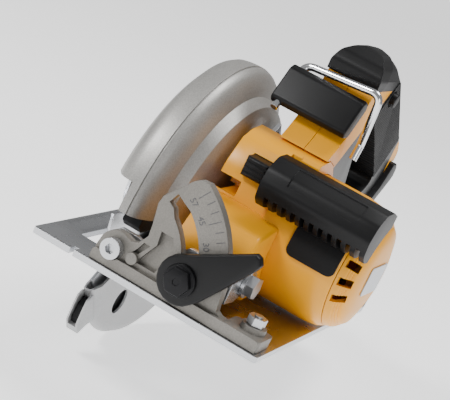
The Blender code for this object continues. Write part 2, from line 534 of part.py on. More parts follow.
gb = cut(gb, fuse(rod(15.3, "Y", (AX, AZ), -20, 1.2, 32), rod(6.6, "Y", (RX, RZ), -20, 1.2, 20)))
gb = cut(gb, rod(35.0, "Y", mc, 10.6, 40, 40))
gb = cut(gb, rod(7.6, "Y", (AX, AZ), 0, 3, 20), rod(8.6, "Y", (AX, AZ), 2.2, 20, 24), rod(5.6, "Y", (RX, RZ), 0, 3, 20), rod(8.6, "Y", (RX, RZ), 2.7, 20, 24))
gb = cut(gb, rod(4.3, "Y", (PIN_X, PIN_Z), 0.2, 60, 16))
gb = cut(gb, cut(box(62.5, 130, 19.1, 40, 57, 120), rod(MR + 1.3, "Y", mc, 0, 60, 40)))     # seat of the front handle
gb = cut(gb, rod(MR + 0.35, "Y", mc, GY1, 60, 40))
SLK = (59.5, 100, 1.2, 16.4, 70.6, 83.4)                                             # pocket for the spindle lock
gb = cut(gb, box(*SLK))
part("gear_housing", gb, "yellow_plastic", "axis_depth")

# motor barrel: open at both ends; the vents are in its end cap
BY0, BY1 = 25.2, 77.0
prof = yr([(BY0, MR), (65, MR), (73, MR - 1.2), (BY1, MR - 3.4), (BY1, MR - 6.0), (72, MR - 4.0), (64, MR - 2.8), (BY0, MR - 2.8)])
mb = revolve(prof, "Y", (MX, 0, MZ), 36)
part("motor_housing", mb, "yellow_plastic", "axis_depth", 30)
ec = revolve(yr([(77.4, 0), (77.4, MR - 3.6), (81.5, MR - 5.0), (86.5, MR - 10), (89.2, MR - 20), (89.2, 0)]), "Y", (MX, 0, MZ), 28)
ec = cut(ec, revolve(yr([(75, 0), (75, MR - 6.5), (81, MR - 8.0), (84.5, MR - 13), (86.0, MR - 22), (86.0, 0)]), "Y", (MX, 0, MZ), 28))
for a in (16, -2, -20, 162, 180, 198):
    v = box(20, 60, 79.0, 86.4, -2.4, 2.4)
    bmesh.ops.rotate(v, verts=v.verts, cent=(0, 0, 0), matrix=Matrix.Rotation(math.radians(-a), 3, "Y"))
    for w in v.verts:
        w.co += Vector((MX, 0, MZ))
    ec = cut(ec, finish(v))
ec = fuse(ec, ring(9.4, 12.0, "Y", (RX, RZ), 76.2, 87.0, 20))
part("motor_end_cap", ec, "yellow_plastic", "axis_depth", 30)
lab = prism(round_loop([(MX - 15, MZ - 9), (MX + 15, MZ - 9), (MX + 15, MZ + 9), (MX - 15, MZ + 9)], 2, 2), "XZ", 89.5, 90.1)
part("rating_label", lab, "label_grey", "axis_depth")

# ================================================================ AUXILIARY FRONT HANDLE
AY0, AY1 = 19.5, 90.0
sec = [(84.4, 62.0), (91.0, 62.4), (98.0, 67), (100.5, 76), (97.0, 85.5), (88, 91.8), (76, 92.4), (66.4, 89.6)]
sec = round_loop(sec, [0, 4, 6, 8, 8, 8, 5, 0], 2)
inner = arc_pts(MX, MZ, MR + 1.7, 60, 22.9, 6)
ah = prism(sec + inner, "XZ", AY0, AY1)
ah = soften(ah, 9.5, 3, lambda m, e: (m.y < AY0 + 0.1 or m.y > AY1 - 0.1) and (m.x - MX) ** 2 + (m.z - MZ) ** 2 > (MR + 4.5) ** 2)
for k in range(11):
    y0 = 24.8 + 5.9 * k
    if y0 > 85:
        continue
    ah = cut(ah, box(76, 108, y0, y0 + 2.9, 50, 69.5))
part("front_handle", ah, "black_plastic", "axis_depth", 40)
pad = prism(arc_pts(MX, MZ, MR + 1.4, 27, -2, 5) + arc_pts(MX, MZ, MR + 0.3, -2, 27, 5), "XZ", 45.5, 76.5)
part("front_handle_pad", pad, "black_rubber", "axis_depth", 30)

# ================================================================ HANDLE
HY0, HY1 = HY - HW, HY + HW
rb0 = MR + 0.5
hout = [(53.5, 94.9), (47.5, 100), (37, 111), (26.5, 127), (23.3, 136), (23.3, 146), (18.5, 154.5), (9.5, 159.6), (-2, 158.4), (-14, 149.4), (-46, 128.0), (-80, 105.5), (-92, 99), (-99.5, 92.5), (-101, 86.5), (-95, 80), (-78, 56), (-60, 40), (-40, 32), (0.3, 32)]
hout = round_loop(hout, [0, 3, 8, 8, 6, 6, 8, 6, 8, 10, 20, 14, 8, 4, 4, 4, 10, 12, 12, 0], 2)
rim = [(0.4, 36.2), (5.5, 50.2), (12.5, 66.3), (24.6, 81.4), (36.7, 91.4), (46.8, 95.0)]
hin = round_loop([(9, 104), (4.5, 114), (-3, 119), (-30, 101.5), (-62, 79.5), (-66, 74), (-62, 69), (-50, 62), (-30, 58), (-12, 68), (0, 88)], [8, 6, 8, 14, 6, 5, 6, 8, 12, 8, 10], 2)
EX, EZ = -4.0, 119.9                                     # front end of the grip's underside
gd = Vector((-0.8243, -0.5662))                           # along the grip, towards the rear
gn = Vector((0.5662, -0.8243))                            # out of the grip's underside


def gp(s, t):
    return (EX + gd.x * s + gn.x * t, EZ + gd.y * s + gn.y * t)


def shell(y0, y1, side):
    b = prism([hout + rim, hin], "XZ", y0, y1)
    face = y0 if side < 0 else y1
    b = soften(b, 9.0, 3, lambda m, e: abs(m.y - face) < 0.05 and (m.x - MX) ** 2 + (m.z - MZ) ** 2 > (MR + 12) ** 2 and m.z > 84)
    return b


CAPL = [(30, 138.6), (30, 178), (-22, 178), (14, 138.6)]
sleeve_out = [gp(2.0, -60), gp(-3.5, -3), gp(-3.5, 12), gp(62.2, 12), gp(76, 0.6), gp(76, -60)]


def sleeve(gap):
    """Space of the overmould: outside of the grip's inner core, between the cap and the battery end."""
    a = prism(sleeve_out, "XZ", HY0 - 5, HY1 + 5)
    core = prism([gp(-30, -28.5 + gap), gp(-30, -3.4 - gap), gp(130, -3.4 - gap), gp(130, -28.5 + gap)], "XZ", HY0 + 3.0 + gap, HY1 - 3.0 - gap)
    return cut(a, core)


def hollow(y0, y1):
    """Room inside the grip for the switch, the trigger and the lock-off."""
    a = prism([gp(4, -26.0), gp(4, -6.5), gp(56, -6.5), gp(56, -26.0)], "XZ", y0, y1)
    return a


def crown(gap):
    """Round top of the handle seen from the front, widened by gap."""
    d = [(HY0 - 4 - gap, -60), (HY0 - 4 - gap, 140), (HY0 - 0.9 - gap, 145), (HY0 + 1.6 - gap, 152.5), (HY0 + 7, 157.6 + gap), (HY, 159.6 + gap), (HY1 - 7, 157.6 + gap), (HY1 - 1.6 + gap, 152.5), (HY1 + 0.9 + gap, 145), (HY1 + 4 + gap, 140), (HY1 + 4 + gap, -60)]
    return prism(round_loop(d, [0, 4, 6, 8, 9, 12, 9, 8, 6, 4, 0], 2), "YZ", -160, 160)


def shell_body(y0, y1, side):
    b = shell(y0, y1, side)
    b = boole(b, crown(-1.0), "INTERSECT")
    b = cut(b, prism(CAPL, "XZ", HY0 - 5, HY1 + 5))
    b = cut(b, sleeve(0.3))
    b = cut(b, hollow(11.3, 30.3))
    b = cut(b, prism([gp(4, -10), gp(4, 10), gp(37.5, 10), gp(37.5, -10)], "XZ", 12.8, 28.8))    # trigger slot
    b = cut(b, rod(4.6, "Y", LOCK, 20, 50, 16))
    b = cut(b, box(-44, -14, 9.5, 32, 41, 51))                                                      # room for the controller
    return b


LOCK = gp(5.5, -20.0)
full_l = shell_body(HY + 0.15, HY1, 1)
full_r = shell_body(HY0, HY - 0.15, -1)
BATT = [(-140, 85.5), (-92, 85.5), (-84, 70), (-64, 52), (-44, 36), (-40, 10), (-140, 10)]
full_l = cut(full_l, prism(BATT, "XZ", -60, 90), rod(MR + 0.45, "Y", (MX, MZ), 24.8, 60, 40))
full_r = cut(full_r, prism(BATT, "XZ", -60, 90))
part("handle_shell_left", full_l, "yellow_plastic", "axis_depth", 40)
part("handle_shell_right", full_r, "yellow_plastic", "axis_depth", 40)

gm = prism([gp(2.3, -60), gp(-3.2, -3), gp(-3.2, 12), gp(62.0, 12), gp(75.6, 0.4), gp(75.6, -60)], "XZ", HY0 - 5, HY1 + 5)
body = prism([hout + rim, hin], "XZ", HY0 - 0.6, HY1 + 0.6)
body = soften(body, 9.4, 3, lambda m, e: (m.y < HY0 or m.y > HY1))
body = boole(body, crown(-1.0), "INTERSECT")
grip = boole(body, gm, "INTERSECT")
grip = cut(grip, prism([gp(-30, -28.5), gp(-30, -3.4), gp(130, -3.4), gp(130, -28.5)], "XZ", HY0 + 3.0, HY1 - 3.0))
grip = cut(grip, prism([gp(3.5, -10), gp(3.5, 10), gp(38, 10), gp(38, -10)], "XZ", 12.3, 29.3))
grip = cut(grip, rod(5.4, "Y", LOCK, 20, 50, 16))
grip = cut(grip, prism(CAPL, "XZ", -10, 50))
part("grip_overmould", grip, "black_rubber", "axis_depth", 40)

cp = [(24.6, 138.9), (25.2, 147), (21.0, 153.0), (11.5, 158.8), (1, 160.4), (-4.4, 159.4), (14.3, 138.9)]
cap = prism(round_loop(cp, [1, 7, 9, 9, 14, 1, 1], 2), "XZ", HY0 - 1.2, HY1 + 1.2)
dome = [(HY0 - 0.9, 130), (HY0 - 0.9, 145), (HY0 + 1.6, 152.5), (HY0 + 7, 157.6), (HY, 159.6), (HY1 - 7, 157.6), (HY1 - 1.6, 152.5), (HY1 + 0.9, 145), (HY1 + 0.9, 130)]
cap = boole(cap, prism(round_loop(dome, [0, 8, 8, 9, 12, 9, 8, 8, 0], 2), "YZ", -60, 80), "INTERSECT")
part("handle_cap", cap, "black_plastic", "axis_depth", 40)

# trigger, switch, controller, lock-off
tr = [gp(4.6, -9.5), gp(4.6, 7), gp(6.5, 12.0), gp(10, 13.6), gp(17, 11.2), gp(27, 8.2), gp(34.5, 4.2), gp(36.6, 0), gp(36.6, -9.5)]
tg = soften(prism(round_loop(tr, [1, 2, 3, 3, 6, 6, 3, 2, 1], 2), "XZ", 13.2, 28.4), 1.6, 2, lambda m, e: (Vector((m.x, m.z)) - Vector((EX, EZ))).dot(gn) > 1 and (m.y < 13.3 or m.y > 28.3))
part("trigger", tg, "black_plastic", "axis_depth", 40)
part("trigger_switch", prism([gp(7, -25.4), gp(7, -16.2), gp(36, -16.2), gp(36, -25.4)], "XZ", 12.0, 28.6), "black_plastic", "axis_depth")
lk = rod(4.3, "Y", LOCK, 32.2, 40.2, 16)
part("lock_off_button", soften(lk, 0.8, 1, lambda m, e: m.y > 40.1), "black_plastic", "axis_depth")
part("controller_board", box(-42, -17, 11, 30.5, 44, 46.4), "board_green", "axis_depth")

# ================================================================ BATTERY MOUNT
FX, FZ = -101.0, 71.5                                     # top of the sloping face that the pack slides along
fd = Vector((0.759, -0.651))                              # down the face
fn = Vector((-0.651, -0.759))                             # out of the face


def fp(s, t):
    return (FX + fd.x * s + fn.x * t, FZ + fd.y * s + fn.y * t)


bt = [(-92.3, 85.0), (-99.5, 85.0), (-103.5, 81.5), (-104.3, 75.5), fp(0, 0), fp(64.0, 0), (-44.6, 28.0), (-44.5, 35.6), (-64.3, 51.6), (-84.4, 69.7)]
br = prism(round_loop(bt, [1, 3, 3, 3, 3, 3, 2, 1, 0, 0], 2), "XZ", 2.2, 40.0)
br = soften(br, 3.0, 2, lambda m, e: m.y < 2.3 or m.y > 39.9)
br = cut(br, prism([fp(10, 8), fp(40, 8), fp(40, -6), fp(10, -6)], "XZ", 6.0, 36.6))
part("battery_receptacle", br, "black_plastic", "axis_depth", 40)
tb = prism([fp(12, -5.7), fp(38, -5.7), fp(38, -3.2), fp(12, -3.2)], "XZ", 12.0, 30.0)
for y in (14.0, 18.6, 23.2, 27.8):
    tb = fuse(tb, prism([fp(15, -4), fp(35, -4), fp(35, -0.4), fp(15, -0.4)], "XZ", y - 0.5, y + 0.5))
part("battery_terminals", tb, "gear_steel", "axis_depth")

# ================================================================ HOOK BLOCK AND RAFTER HOOK
H0, H1 = Vector((50.0, -7.5, 107.5)), Vector((30.5, -7.5, 130.5))      # hook pin, foot and top
pivot("axis_hook", tuple((H0 + H1) / 2), "axis_depth")
hb = [(37.5, 111.5), (39.5, 109.6), (47.5, 109.6), (49.8, 113.6), (38.6, 131.2), (34, 133.2), (29, 131.6), (26.95, 127.5)]
hk = prism(round_loop(hb, [0, 1.5, 3, 3, 4, 3, 1.5, 0], 3), "XZ", -12.6, 37.6)
hk = soften(hk, 2.4, 2, lambda m, e: m.y < -12.5 or m.y > 37.5)
hk = cut(hk, tube([tuple(H0 + (H0 - H1) * 0.3), tuple(H1 + (H1 - H0) * 0.5)], 2.7, 12))
part("hook_block", hk, "black_plastic", "axis_depth", 40)
U = (H1 - H0).normalized()
wire = fillet_path([tuple(H0), tuple(H1 + U * 5.5), (34.5, 43.6, 140.2), (28.5, 43.6, 108.0), (30.5, 43.6, 98.5)], 6.0, 4)
part("rafter_hook", tube(wire, 2.4, 10), "chrome_wire", "axis_hook", 60)

# ================================================================ SPINDLE LOCK, DEPTH CLAMP, DEFLECTOR
slb = box(62.5, 85.0, 1.6, 16.0, 71.0, 83.0)
slb = soften(slb, 2.0, 2, lambda m, e: m.x > 84.9)
for z in (73.4, 76.4, 79.4):
    slb = cut(slb, box(84.2, 90, 0, 17, z, z + 1.2))
part("spindle_lock_button", slb, "black_plastic", "axis_depth")
pivot("axis_depth_lever", (DS[0], -8, DS[1]), "axis_depth")
stud = fuse(rod(2.9, "Y", DS, -18.9, -1.0, 14), hexbar(4.8, "Y", DS, -4.3, -1.6))
part("depth_clamp_stud", stud, "zinc_steel", "axis_depth_lever")
dl = prism(round_loop([(DS[0] + 4.6, DS[1] - 3), (DS[0] + 1, DS[1] - 5.7), (DS[0] - 6, DS[1] - 4.6), (-47, 33.5), (-52, 37), (-50, 42.5), (-44, 42.6), (DS[0] - 3, DS[1] + 5.6), (DS[0] + 3.6, DS[1] + 4.6)], [2, 3, 3, 3, 3, 3, 3, 3, 2], 2), "XZ", -10.5, -4.6)
dl = soften(dl, 1.0, 1, lambda m, e: m.x < -12)
dl = cut(dl, rod(3.1, "Y", DS, -20, 0, 14))
part("depth_lever", dl, "black_plastic", "axis_depth_lever")
cd = prism(round_loop([(80, 20.5), (86, 18), (106, 18), (111.5, 22), (111, 27.1), (80, 27.1)], [2, 3, 3, 2, 0, 0], 2), "XZ", -41.2, -30.0)
part("chip_deflector", cd, "black_rubber", "axis_depth")
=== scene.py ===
import json
import math

import bmesh
import bpy
import numpy as np
from mathutils import Matrix, Vector

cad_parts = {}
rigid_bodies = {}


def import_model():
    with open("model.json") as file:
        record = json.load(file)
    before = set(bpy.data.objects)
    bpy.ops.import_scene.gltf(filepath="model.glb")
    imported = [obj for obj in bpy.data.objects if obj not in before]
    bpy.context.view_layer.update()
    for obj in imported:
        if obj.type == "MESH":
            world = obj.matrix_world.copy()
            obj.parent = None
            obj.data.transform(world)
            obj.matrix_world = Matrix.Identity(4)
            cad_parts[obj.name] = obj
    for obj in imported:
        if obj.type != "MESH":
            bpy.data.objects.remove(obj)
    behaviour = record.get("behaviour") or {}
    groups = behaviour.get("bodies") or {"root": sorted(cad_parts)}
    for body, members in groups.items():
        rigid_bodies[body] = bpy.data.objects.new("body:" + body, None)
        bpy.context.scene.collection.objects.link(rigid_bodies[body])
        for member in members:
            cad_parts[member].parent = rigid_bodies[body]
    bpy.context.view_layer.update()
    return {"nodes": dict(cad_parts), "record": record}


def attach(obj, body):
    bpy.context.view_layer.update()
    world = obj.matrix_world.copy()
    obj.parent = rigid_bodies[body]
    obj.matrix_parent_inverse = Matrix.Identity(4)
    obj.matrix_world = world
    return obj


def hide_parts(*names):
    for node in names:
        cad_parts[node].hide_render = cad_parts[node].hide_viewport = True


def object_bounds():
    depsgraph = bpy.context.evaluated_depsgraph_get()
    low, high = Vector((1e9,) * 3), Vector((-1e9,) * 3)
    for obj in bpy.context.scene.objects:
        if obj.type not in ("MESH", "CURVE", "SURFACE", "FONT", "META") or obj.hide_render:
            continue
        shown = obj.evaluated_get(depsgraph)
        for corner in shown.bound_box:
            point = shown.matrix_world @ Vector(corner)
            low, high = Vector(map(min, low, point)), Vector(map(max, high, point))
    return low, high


for o in list(bpy.data.objects):
    bpy.data.objects.remove(o, do_unlink=True)
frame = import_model()
RECORD = frame["record"]
BODY_OF = {n: b for b, ns in RECORD["behaviour"]["bodies"].items() for n in ns}
SLOT_OF = {s["node"]: s["material_slot"] for s in RECORD["subparts"]}

SHOE_L, SHOE_W, SHOE_T = 295.0, 146.6, 3.6
OPEN_X0, OPEN_X1 = -88.0, 118.0          # blade opening, front to rear
OPEN_Y0, OPEN_Y1 = -57.6, -27.0          # blade opening, across
AX, AZ = 23.5, 22.0                      # blade axis above the sole
BLADE_Y = -47.0                          # middle plane of the blade
BLADE_R, BLADE_T = 89.6, 1.8
TILT_Y, TILT_Z = -27.0, 14.6             # bevel axis, parallel to X
PIN_X, PIN_Z = 112.0, 25.5               # depth axis, parallel to Y
STUD_Y, STUD_Z = 18.0, 20.4              # bevel clamp stud, parallel to X
QUAD_X0, QUAD_X1 = 136.0, 142.0          # bevel quadrant, back and front face
LINK_X0, LINK_X1 = 130.2, 133.6          # link plate behind it
MX, MZ, MR = 45.0, 45.6, 40.5            # motor barrel axis and radius
RX, RZ = 35.52, 35.2                     # rotor axis
HY, HW = 20.6, 16.0                      # handle middle plane and half width
GEAR_T, PINION_T, GEAR_M = 26, 8, 1.05
ARM_R, A_REST, DEPTH_DEG = 118.0, 178.5, 28.0    # depth arm radius, stud angle at rest, swing
ARM_Y0, ARM_Y1 = -13.4, -10.9
GAP = 0.3
MM = 0.001


# ---------------------------------------------------------------- materials
def nd(t, kind, **vals):
    n = t.nodes.new(kind)
    for k, v in vals.items():
        if k in n.inputs:
            n.inputs[k].default_value = v
        else:
            setattr(n, k, v)
    return n


def look(name, base, rough, metal=0.0, grain=(1800.0, 0.25, 3.0), mottle=0.05, speck=0.0, stretch=(1, 1, 1), wear=0.0, edge=0.0004, coat=0.0, hatch=0.0, vary=0.08, pick=None):
    """Procedural finish: mottled colour, uneven roughness, fine grain and rounded edges."""
    m = bpy.data.materials.new(name)
    m.use_nodes = True
    t = m.node_tree
    b = t.nodes["Principled BSDF"]
    lk = t.links.new
    co = nd(t, "ShaderNodeTexCoord")
    mp = nd(t, "ShaderNodeMapping")
    mp.inputs["Scale"].default_value = stretch
    lk(co.outputs["Object"], mp.inputs["Vector"])
    low = nd(t, "ShaderNodeTexNoise")
    low.inputs["Scale"].default_value = 38.0
    low.inputs["Detail"].default_value = 4.0
    lk(co.outputs["Object"], low.inputs["Vector"])
    fine = nd(t, "ShaderNodeTexNoise")
    fine.inputs["Scale"].default_value = grain[0]
    fine.inputs["Detail"].default_value = grain[2]
    lk(mp.outputs["Vector"], fine.inputs["Vector"])
    ramp = nd(t, "ShaderNodeValToRGB")
    ramp.color_ramp.elements[0].position, ramp.color_ramp.elements[1].position = 0.3, 0.7
    ramp.color_ramp.elements[0].color = (*[c * (1 - mottle) for c in base], 1)
    ramp.color_ramp.elements[1].color = (*[min(1, c * (1 + mottle)) for c in base], 1)
    lk(low.outputs["Fac"], ramp.inputs["Fac"])
    colour = ramp.outputs["Color"]
    if speck:
        sr = nd(t, "ShaderNodeValToRGB")
        sr.color_ramp.elements[0].position, sr.color_ramp.elements[1].position = 0.36, 0.64
        sr.color_ramp.elements[0].color = (1 - speck, 1 - speck, 1 - speck, 1)
        sr.color_ramp.elements[1].color = (1, 1, 1, 1)
        lk(fine.outputs["Fac"], sr.inputs["Fac"])
        mx = nd(t, "ShaderNodeMixRGB")
        mx.blend_type = "MULTIPLY"
        mx.inputs["Fac"].default_value = 1.0
        lk(colour, mx.inputs["Color1"])
        lk(sr.outputs["Color"], mx.inputs["Color2"])
        colour = mx.outputs["Color"]
    if pick:
        # a second moulding colour beyond a straight line in the XZ plane: x * a + z * c > d
        sx = nd(t, "ShaderNodeSeparateXYZ")
        lk(co.outputs["Object"], sx.inputs["Vector"])
        m1 = nd(t, "ShaderNodeMath", operation="MULTIPLY")
        m1.inputs[1].default_value = pick[0]
        lk(sx.outputs["X"], m1.inputs[0])
        m2 = nd(t, "ShaderNodeMath", operation="MULTIPLY_ADD")
        m2.inputs[1].default_value = pick[1]
        lk(sx.outputs["Z"], m2.inputs[0])
        lk(m1.outputs[0], m2.inputs[2])
        m3 = nd(t, "ShaderNodeMath", operation="GREATER_THAN")
        m3.inputs[1].default_value = pick[2]
        lk(m2.outputs[0], m3.inputs[0])
        m5 = nd(t, "ShaderNodeMath", operation="GREATER_THAN")
        m5.inputs[1].default_value = pick[4]
        lk(sx.outputs["X"], m5.inputs[0])
        m6 = nd(t, "ShaderNodeMath", operation="MULTIPLY")
        lk(m3.outputs[0], m6.inputs[0])
        lk(m5.outputs[0], m6.inputs[1])
        m7 = nd(t, "ShaderNodeMath", operation="GREATER_THAN")
        m7.inputs[1].default_value = 0.1387
        lk(sx.outputs["Z"], m7.inputs[0])
        m8 = nd(t, "ShaderNodeMath", operation="MAXIMUM")
        lk(m6.outputs[0], m8.inputs[0])
        lk(m7.outputs[0], m8.inputs[1])
        mx = nd(t, "ShaderNodeMixRGB")
        mx.inputs["Color2"].default_value = (*pick[3], 1)
        lk(m8.outputs[0], mx.inputs["Fac"])
        lk(colour, mx.inputs["Color1"])
        colour = mx.outputs["Color"]
    lk(colour, b.inputs["Base Color"])
    mr = nd(t, "ShaderNodeMapRange")
    mr.inputs["To Min"].default_value = max(0.03, rough - vary)
    mr.inputs["To Max"].default_value = min(1.0, rough + vary)
    lk(low.outputs["Fac"], mr.inputs["Value"])
    lk(mr.outputs["Result"], b.inputs["Roughness"])
    b.inputs["Metallic"].default_value = metal
    b.inputs["Specular IOR Level"].default_value = 0.28 if max(base) < 0.02 else 0.4
    b.inputs["Coat Weight"].default_value = coat
    b.inputs["Coat Roughness"].default_value = 0.25
    bv = nd(t, "ShaderNodeBevel", samples=4)
    bv.inputs["Radius"].default_value = edge
    bp = nd(t, "ShaderNodeBump")
    bp.inputs["Strength"].default_value = grain[1]
    bp.inputs["Distance"].default_value = 0.0002
    lk(fine.outputs["Fac"], bp.inputs["Height"])
    lk(bv.outputs["Normal"], bp.inputs["Normal"])
    normal = bp.outputs["Normal"]
    if hatch:
        hw = None
        for rot in (0.62, -0.62):
            m4 = nd(t, "ShaderNodeMapping")
            m4.inputs["Rotation"].default_value = (0.0, rot, 0.0)
            lk(co.outputs["Object"], m4.inputs["Vector"])
            wv = nd(t, "ShaderNodeTexWave")
            wv.inputs["Scale"].default_value = 95.0
            lk(m4.outputs["Vector"], wv.inputs["Vector"])
            b2 = nd(t, "ShaderNodeBump")
            b2.inputs["Strength"].default_value = hatch
            b2.inputs["Distance"].default_value = 0.0004
            lk(wv.outputs["Fac"], b2.inputs["Height"])
            lk(normal, b2.inputs["Normal"])
            normal = b2.outputs["Normal"]
    lk(normal, b.inputs["Normal"])
    return m


YEL = (0.90, 0.385, 0.0)
BLK = (0.0030, 0.0030, 0.0034)
LOOK = {
    "yellow_plastic": look("look_yellow", YEL, 0.36, grain=(1500, 0.10, 3), mottle=0.03, coat=0.12),
    "black_plastic": look("look_black", BLK, 0.42, grain=(1300, 0.22, 3), mottle=0.12),
    "black_rubber": look("look_rubber", (0.0040, 0.0040, 0.0044), 0.62, grain=(900, 0.4, 4), mottle=0.1),
    "cast_magnesium": look("look_guard", (0.43, 0.42, 0.40), 0.42, 0.45, grain=(1300, 0.30, 4), mottle=0.05, speck=0.22),
    "cast_bracket": look("look_bracket", (0.235, 0.222, 0.200), 0.46, 0.45, grain=(1100, 0.42, 5), mottle=0.09, speck=0.16),
    "shoe_aluminium": look("look_shoe", (0.56, 0.57, 0.59), 0.27, 0.95, grain=(900, 0.25, 2), mottle=0.05, stretch=(0.05, 1.6, 1), vary=0.07, edge=0.0003),
    "guard_aluminium": look("look_lower_guard", (0.46, 0.46, 0.46), 0.40, 0.6, grain=(1000, 0.30, 4), mottle=0.06, speck=0.12),
    "zinc_steel": look("look_zinc", (0.60, 0.61, 0.63), 0.30, 0.95, grain=(700, 0.12, 3), mottle=0.10, vary=0.10),
    "black_steel": look("look_black_steel", (0.010, 0.010, 0.011), 0.36, 0.5, grain=(900, 0.15, 3), mottle=0.2),
    "chrome_wire": look("look_chrome", (0.82, 0.83, 0.85), 0.14, 1.0, grain=(500, 0.04, 2), mottle=0.03, vary=0.05),
    "blade_steel": look("look_blade", (0.60, 0.61, 0.63), 0.28, 0.95, grain=(900, 0.1, 2), mottle=0.06, stretch=(1, 1, 0.1)),
    "gear_steel": look("look_gear", (0.42, 0.42, 0.44), 0.36, 0.9, grain=(800, 0.1, 2), mottle=0.08),
    "copper_stack": look("look_copper", (0.45, 0.22, 0.12), 0.45, 0.7, grain=(600, 0.3, 2), mottle=0.15),
    "board_green": look("look_board", (0.04, 0.18, 0.07), 0.5, grain=(500, 0.2, 2), mottle=0.15),
    "label_grey": look("look_label", (0.62, 0.65, 0.69), 0.35, 0.1, grain=(900, 0.03, 2), mottle=0.04),
}
GRIP = look("look_grip", (0.0040, 0.0040, 0.0044), 0.60, grain=(900, 0.3, 4), mottle=0.1, hatch=0.5)
MARKS = look("look_marks", (0.12, 0.12, 0.125), 0.55, 0.2, grain=(900, 0.1, 2), mottle=0.1)
MARKS_LIGHT = look("look_marks_light", (0.62, 0.60, 0.56), 0.45, 0.4, grain=(900, 0.1, 2), mottle=0.05)
HANDLE = look("look_handle", YEL, 0.40, grain=(1500, 0.10, 3), mottle=0.03, coat=0.12, pick=(-0.725, -0.689, -0.0867, (0.0034, 0.0034, 0.0038), -0.088))
SPECIAL = {"grip_overmould": GRIP, "handle_shell_left": HANDLE, "handle_shell_right": HANDLE}

# ---------------------------------------------------------------- shape helpers
def finish(bm):
    bmesh.ops.remove_doubles(bm, verts=bm.verts, dist=1e-4)
    bmesh.ops.recalc_face_normals(bm, faces=bm.faces)
    return bm


def place(bm, plane):
    """Local (u, v, w) to the frame: XY keeps w on Z, XZ puts w on Y, YZ puts w on X."""
    for v in bm.verts:
        a, b, c = v.co
        v.co = {"XY": (a, b, c), "XZ": (a, c, b), "YZ": (c, a, b)}[plane]
    return bm


def prism(loops, plane, w0, w1):
    """Outline with holes, filled and extruded from w0 to w1 along the plane's normal."""
    if not isinstance(loops[0][0], (tuple, list)):
        loops = [loops]
    cu = bpy.data.curves.new("outline", "CURVE")
    cu.dimensions = "2D"
    cu.fill_mode = "BOTH"
    for loop in loops:
        sp = cu.splines.new("POLY")
        sp.points.add(len(loop) - 1)
        for p, (a, b) in zip(sp.points, loop):
            p.co = (a, b, 0.0, 1.0)
        sp.use_cyclic_u = True
    cu.extrude = (w1 - w0) / 2
    ob = bpy.data.objects.new("outline", cu)
    bpy.context.scene.collection.objects.link(ob)
    graph = bpy.context.evaluated_depsgraph_get()
    me = bpy.data.meshes.new_from_object(ob.evaluated_get(graph))
    bm = bmesh.new()
    bm.from_mesh(me)
    bpy.data.objects.remove(ob, do_unlink=True)
    bpy.data.curves.remove(cu)
    bpy.data.meshes.remove(me)
    for v in bm.verts:
        v.co.z += (w0 + w1) / 2
    finish(bm)
    bmesh.ops.dissolve_limit(bm, angle_limit=0.01, verts=bm.verts, edges=bm.edges)
    place(bm, plane)
    return finish(bm)


def revolve(profile, axis, centre, steps=48, arc=360.0, start=0.0):
    """Profile of (radius, height) turned about an axis. A profile off the axis is closed on itself."""
    bm = bmesh.new()
    vs = [bm.verts.new((r, 0.0, h)) for r, h in profile]
    es = [bm.edges.new((a, b)) for a, b in zip(vs, vs[1:])]
    steps = max(48, steps * 3)
    ring = profile[0][0] > 1e-6 or profile[-1][0] > 1e-6
    if ring:
        es.append(bm.edges.new((vs[-1], vs[0])))
    if start:
        bmesh.ops.rotate(bm, verts=bm.verts, cent=(0, 0, 0), matrix=Matrix.Rotation(math.radians(start), 3, "Z"))
    geom = list(bm.verts) + list(bm.edges)
    if abs(arc - 360.0) < 1e-6:
        bmesh.ops.spin(bm, geom=geom, cent=(0, 0, 0), axis=(0, 0, 1), angle=math.radians(360), steps=steps, use_merge=True)
    else:
        first = bmesh.ops.contextual_create(bm, geom=es)["faces"] if ring else []
        geom = list(bm.verts) + list(bm.edges) + list(first)
        bmesh.ops.spin(bm, geom=geom, cent=(0, 0, 0), axis=(0, 0, 1), angle=math.radians(arc), steps=steps)
    bmesh.ops.remove_doubles(bm, verts=bm.verts, dist=1e-4)
    bmesh.ops.dissolve_degenerate(bm, edges=bm.edges, dist=1e-5)
    place(bm, {"Z": "XY", "Y": "XZ", "X": "YZ"}[axis])
    c = Vector(centre)
    for v in bm.verts:
        v.co += c
    return finish(bm)


def rod(r, axis, centre, w0, w1, n=24, r2=None):
    """Round bar or cone from w0 to w1 along an axis through centre (two coordinates in plane order)."""
    r2 = r if r2 is None else r2
    c = {"X": (0, centre[0], centre[1]), "Y": (centre[0], 0, centre[1]), "Z": (centre[0], centre[1], 0)}[axis]
    return revolve([(0, w0), (r, w0), (r2, w1), (0, w1)], axis, c, n)


def ring(r0, r1, axis, centre, w0, w1, n=24):
    c = {"X": (0, centre[0], centre[1]), "Y": (centre[0], 0, centre[1]), "Z": (centre[0], centre[1], 0)}[axis]
    return revolve([(r0, w0), (r1, w0), (r1, w1), (r0, w1)], axis, c, n)


def box(x0, x1, y0, y1, z0, z1):
    bm = bmesh.new()
    bmesh.ops.create_cube(bm, size=1.0)
    for v in bm.verts:
        v.co = ((x0 + x1) / 2 + v.co.x * (x1 - x0), (y0 + y1) / 2 + v.co.y * (y1 - y0), (z0 + z1) / 2 + v.co.z * (z1 - z0))
    return finish(bm)


def hexbar(r, axis, centre, w0, w1, turn=0.0):
    pts = [(centre[0] + r * math.cos(math.radians(60 * k + turn)), centre[1] + r * math.sin(math.radians(60 * k + turn))) for k in range(6)]
    return prism(pts, {"X": "YZ", "Y": "XZ", "Z": "XY"}[axis], w0, w1)


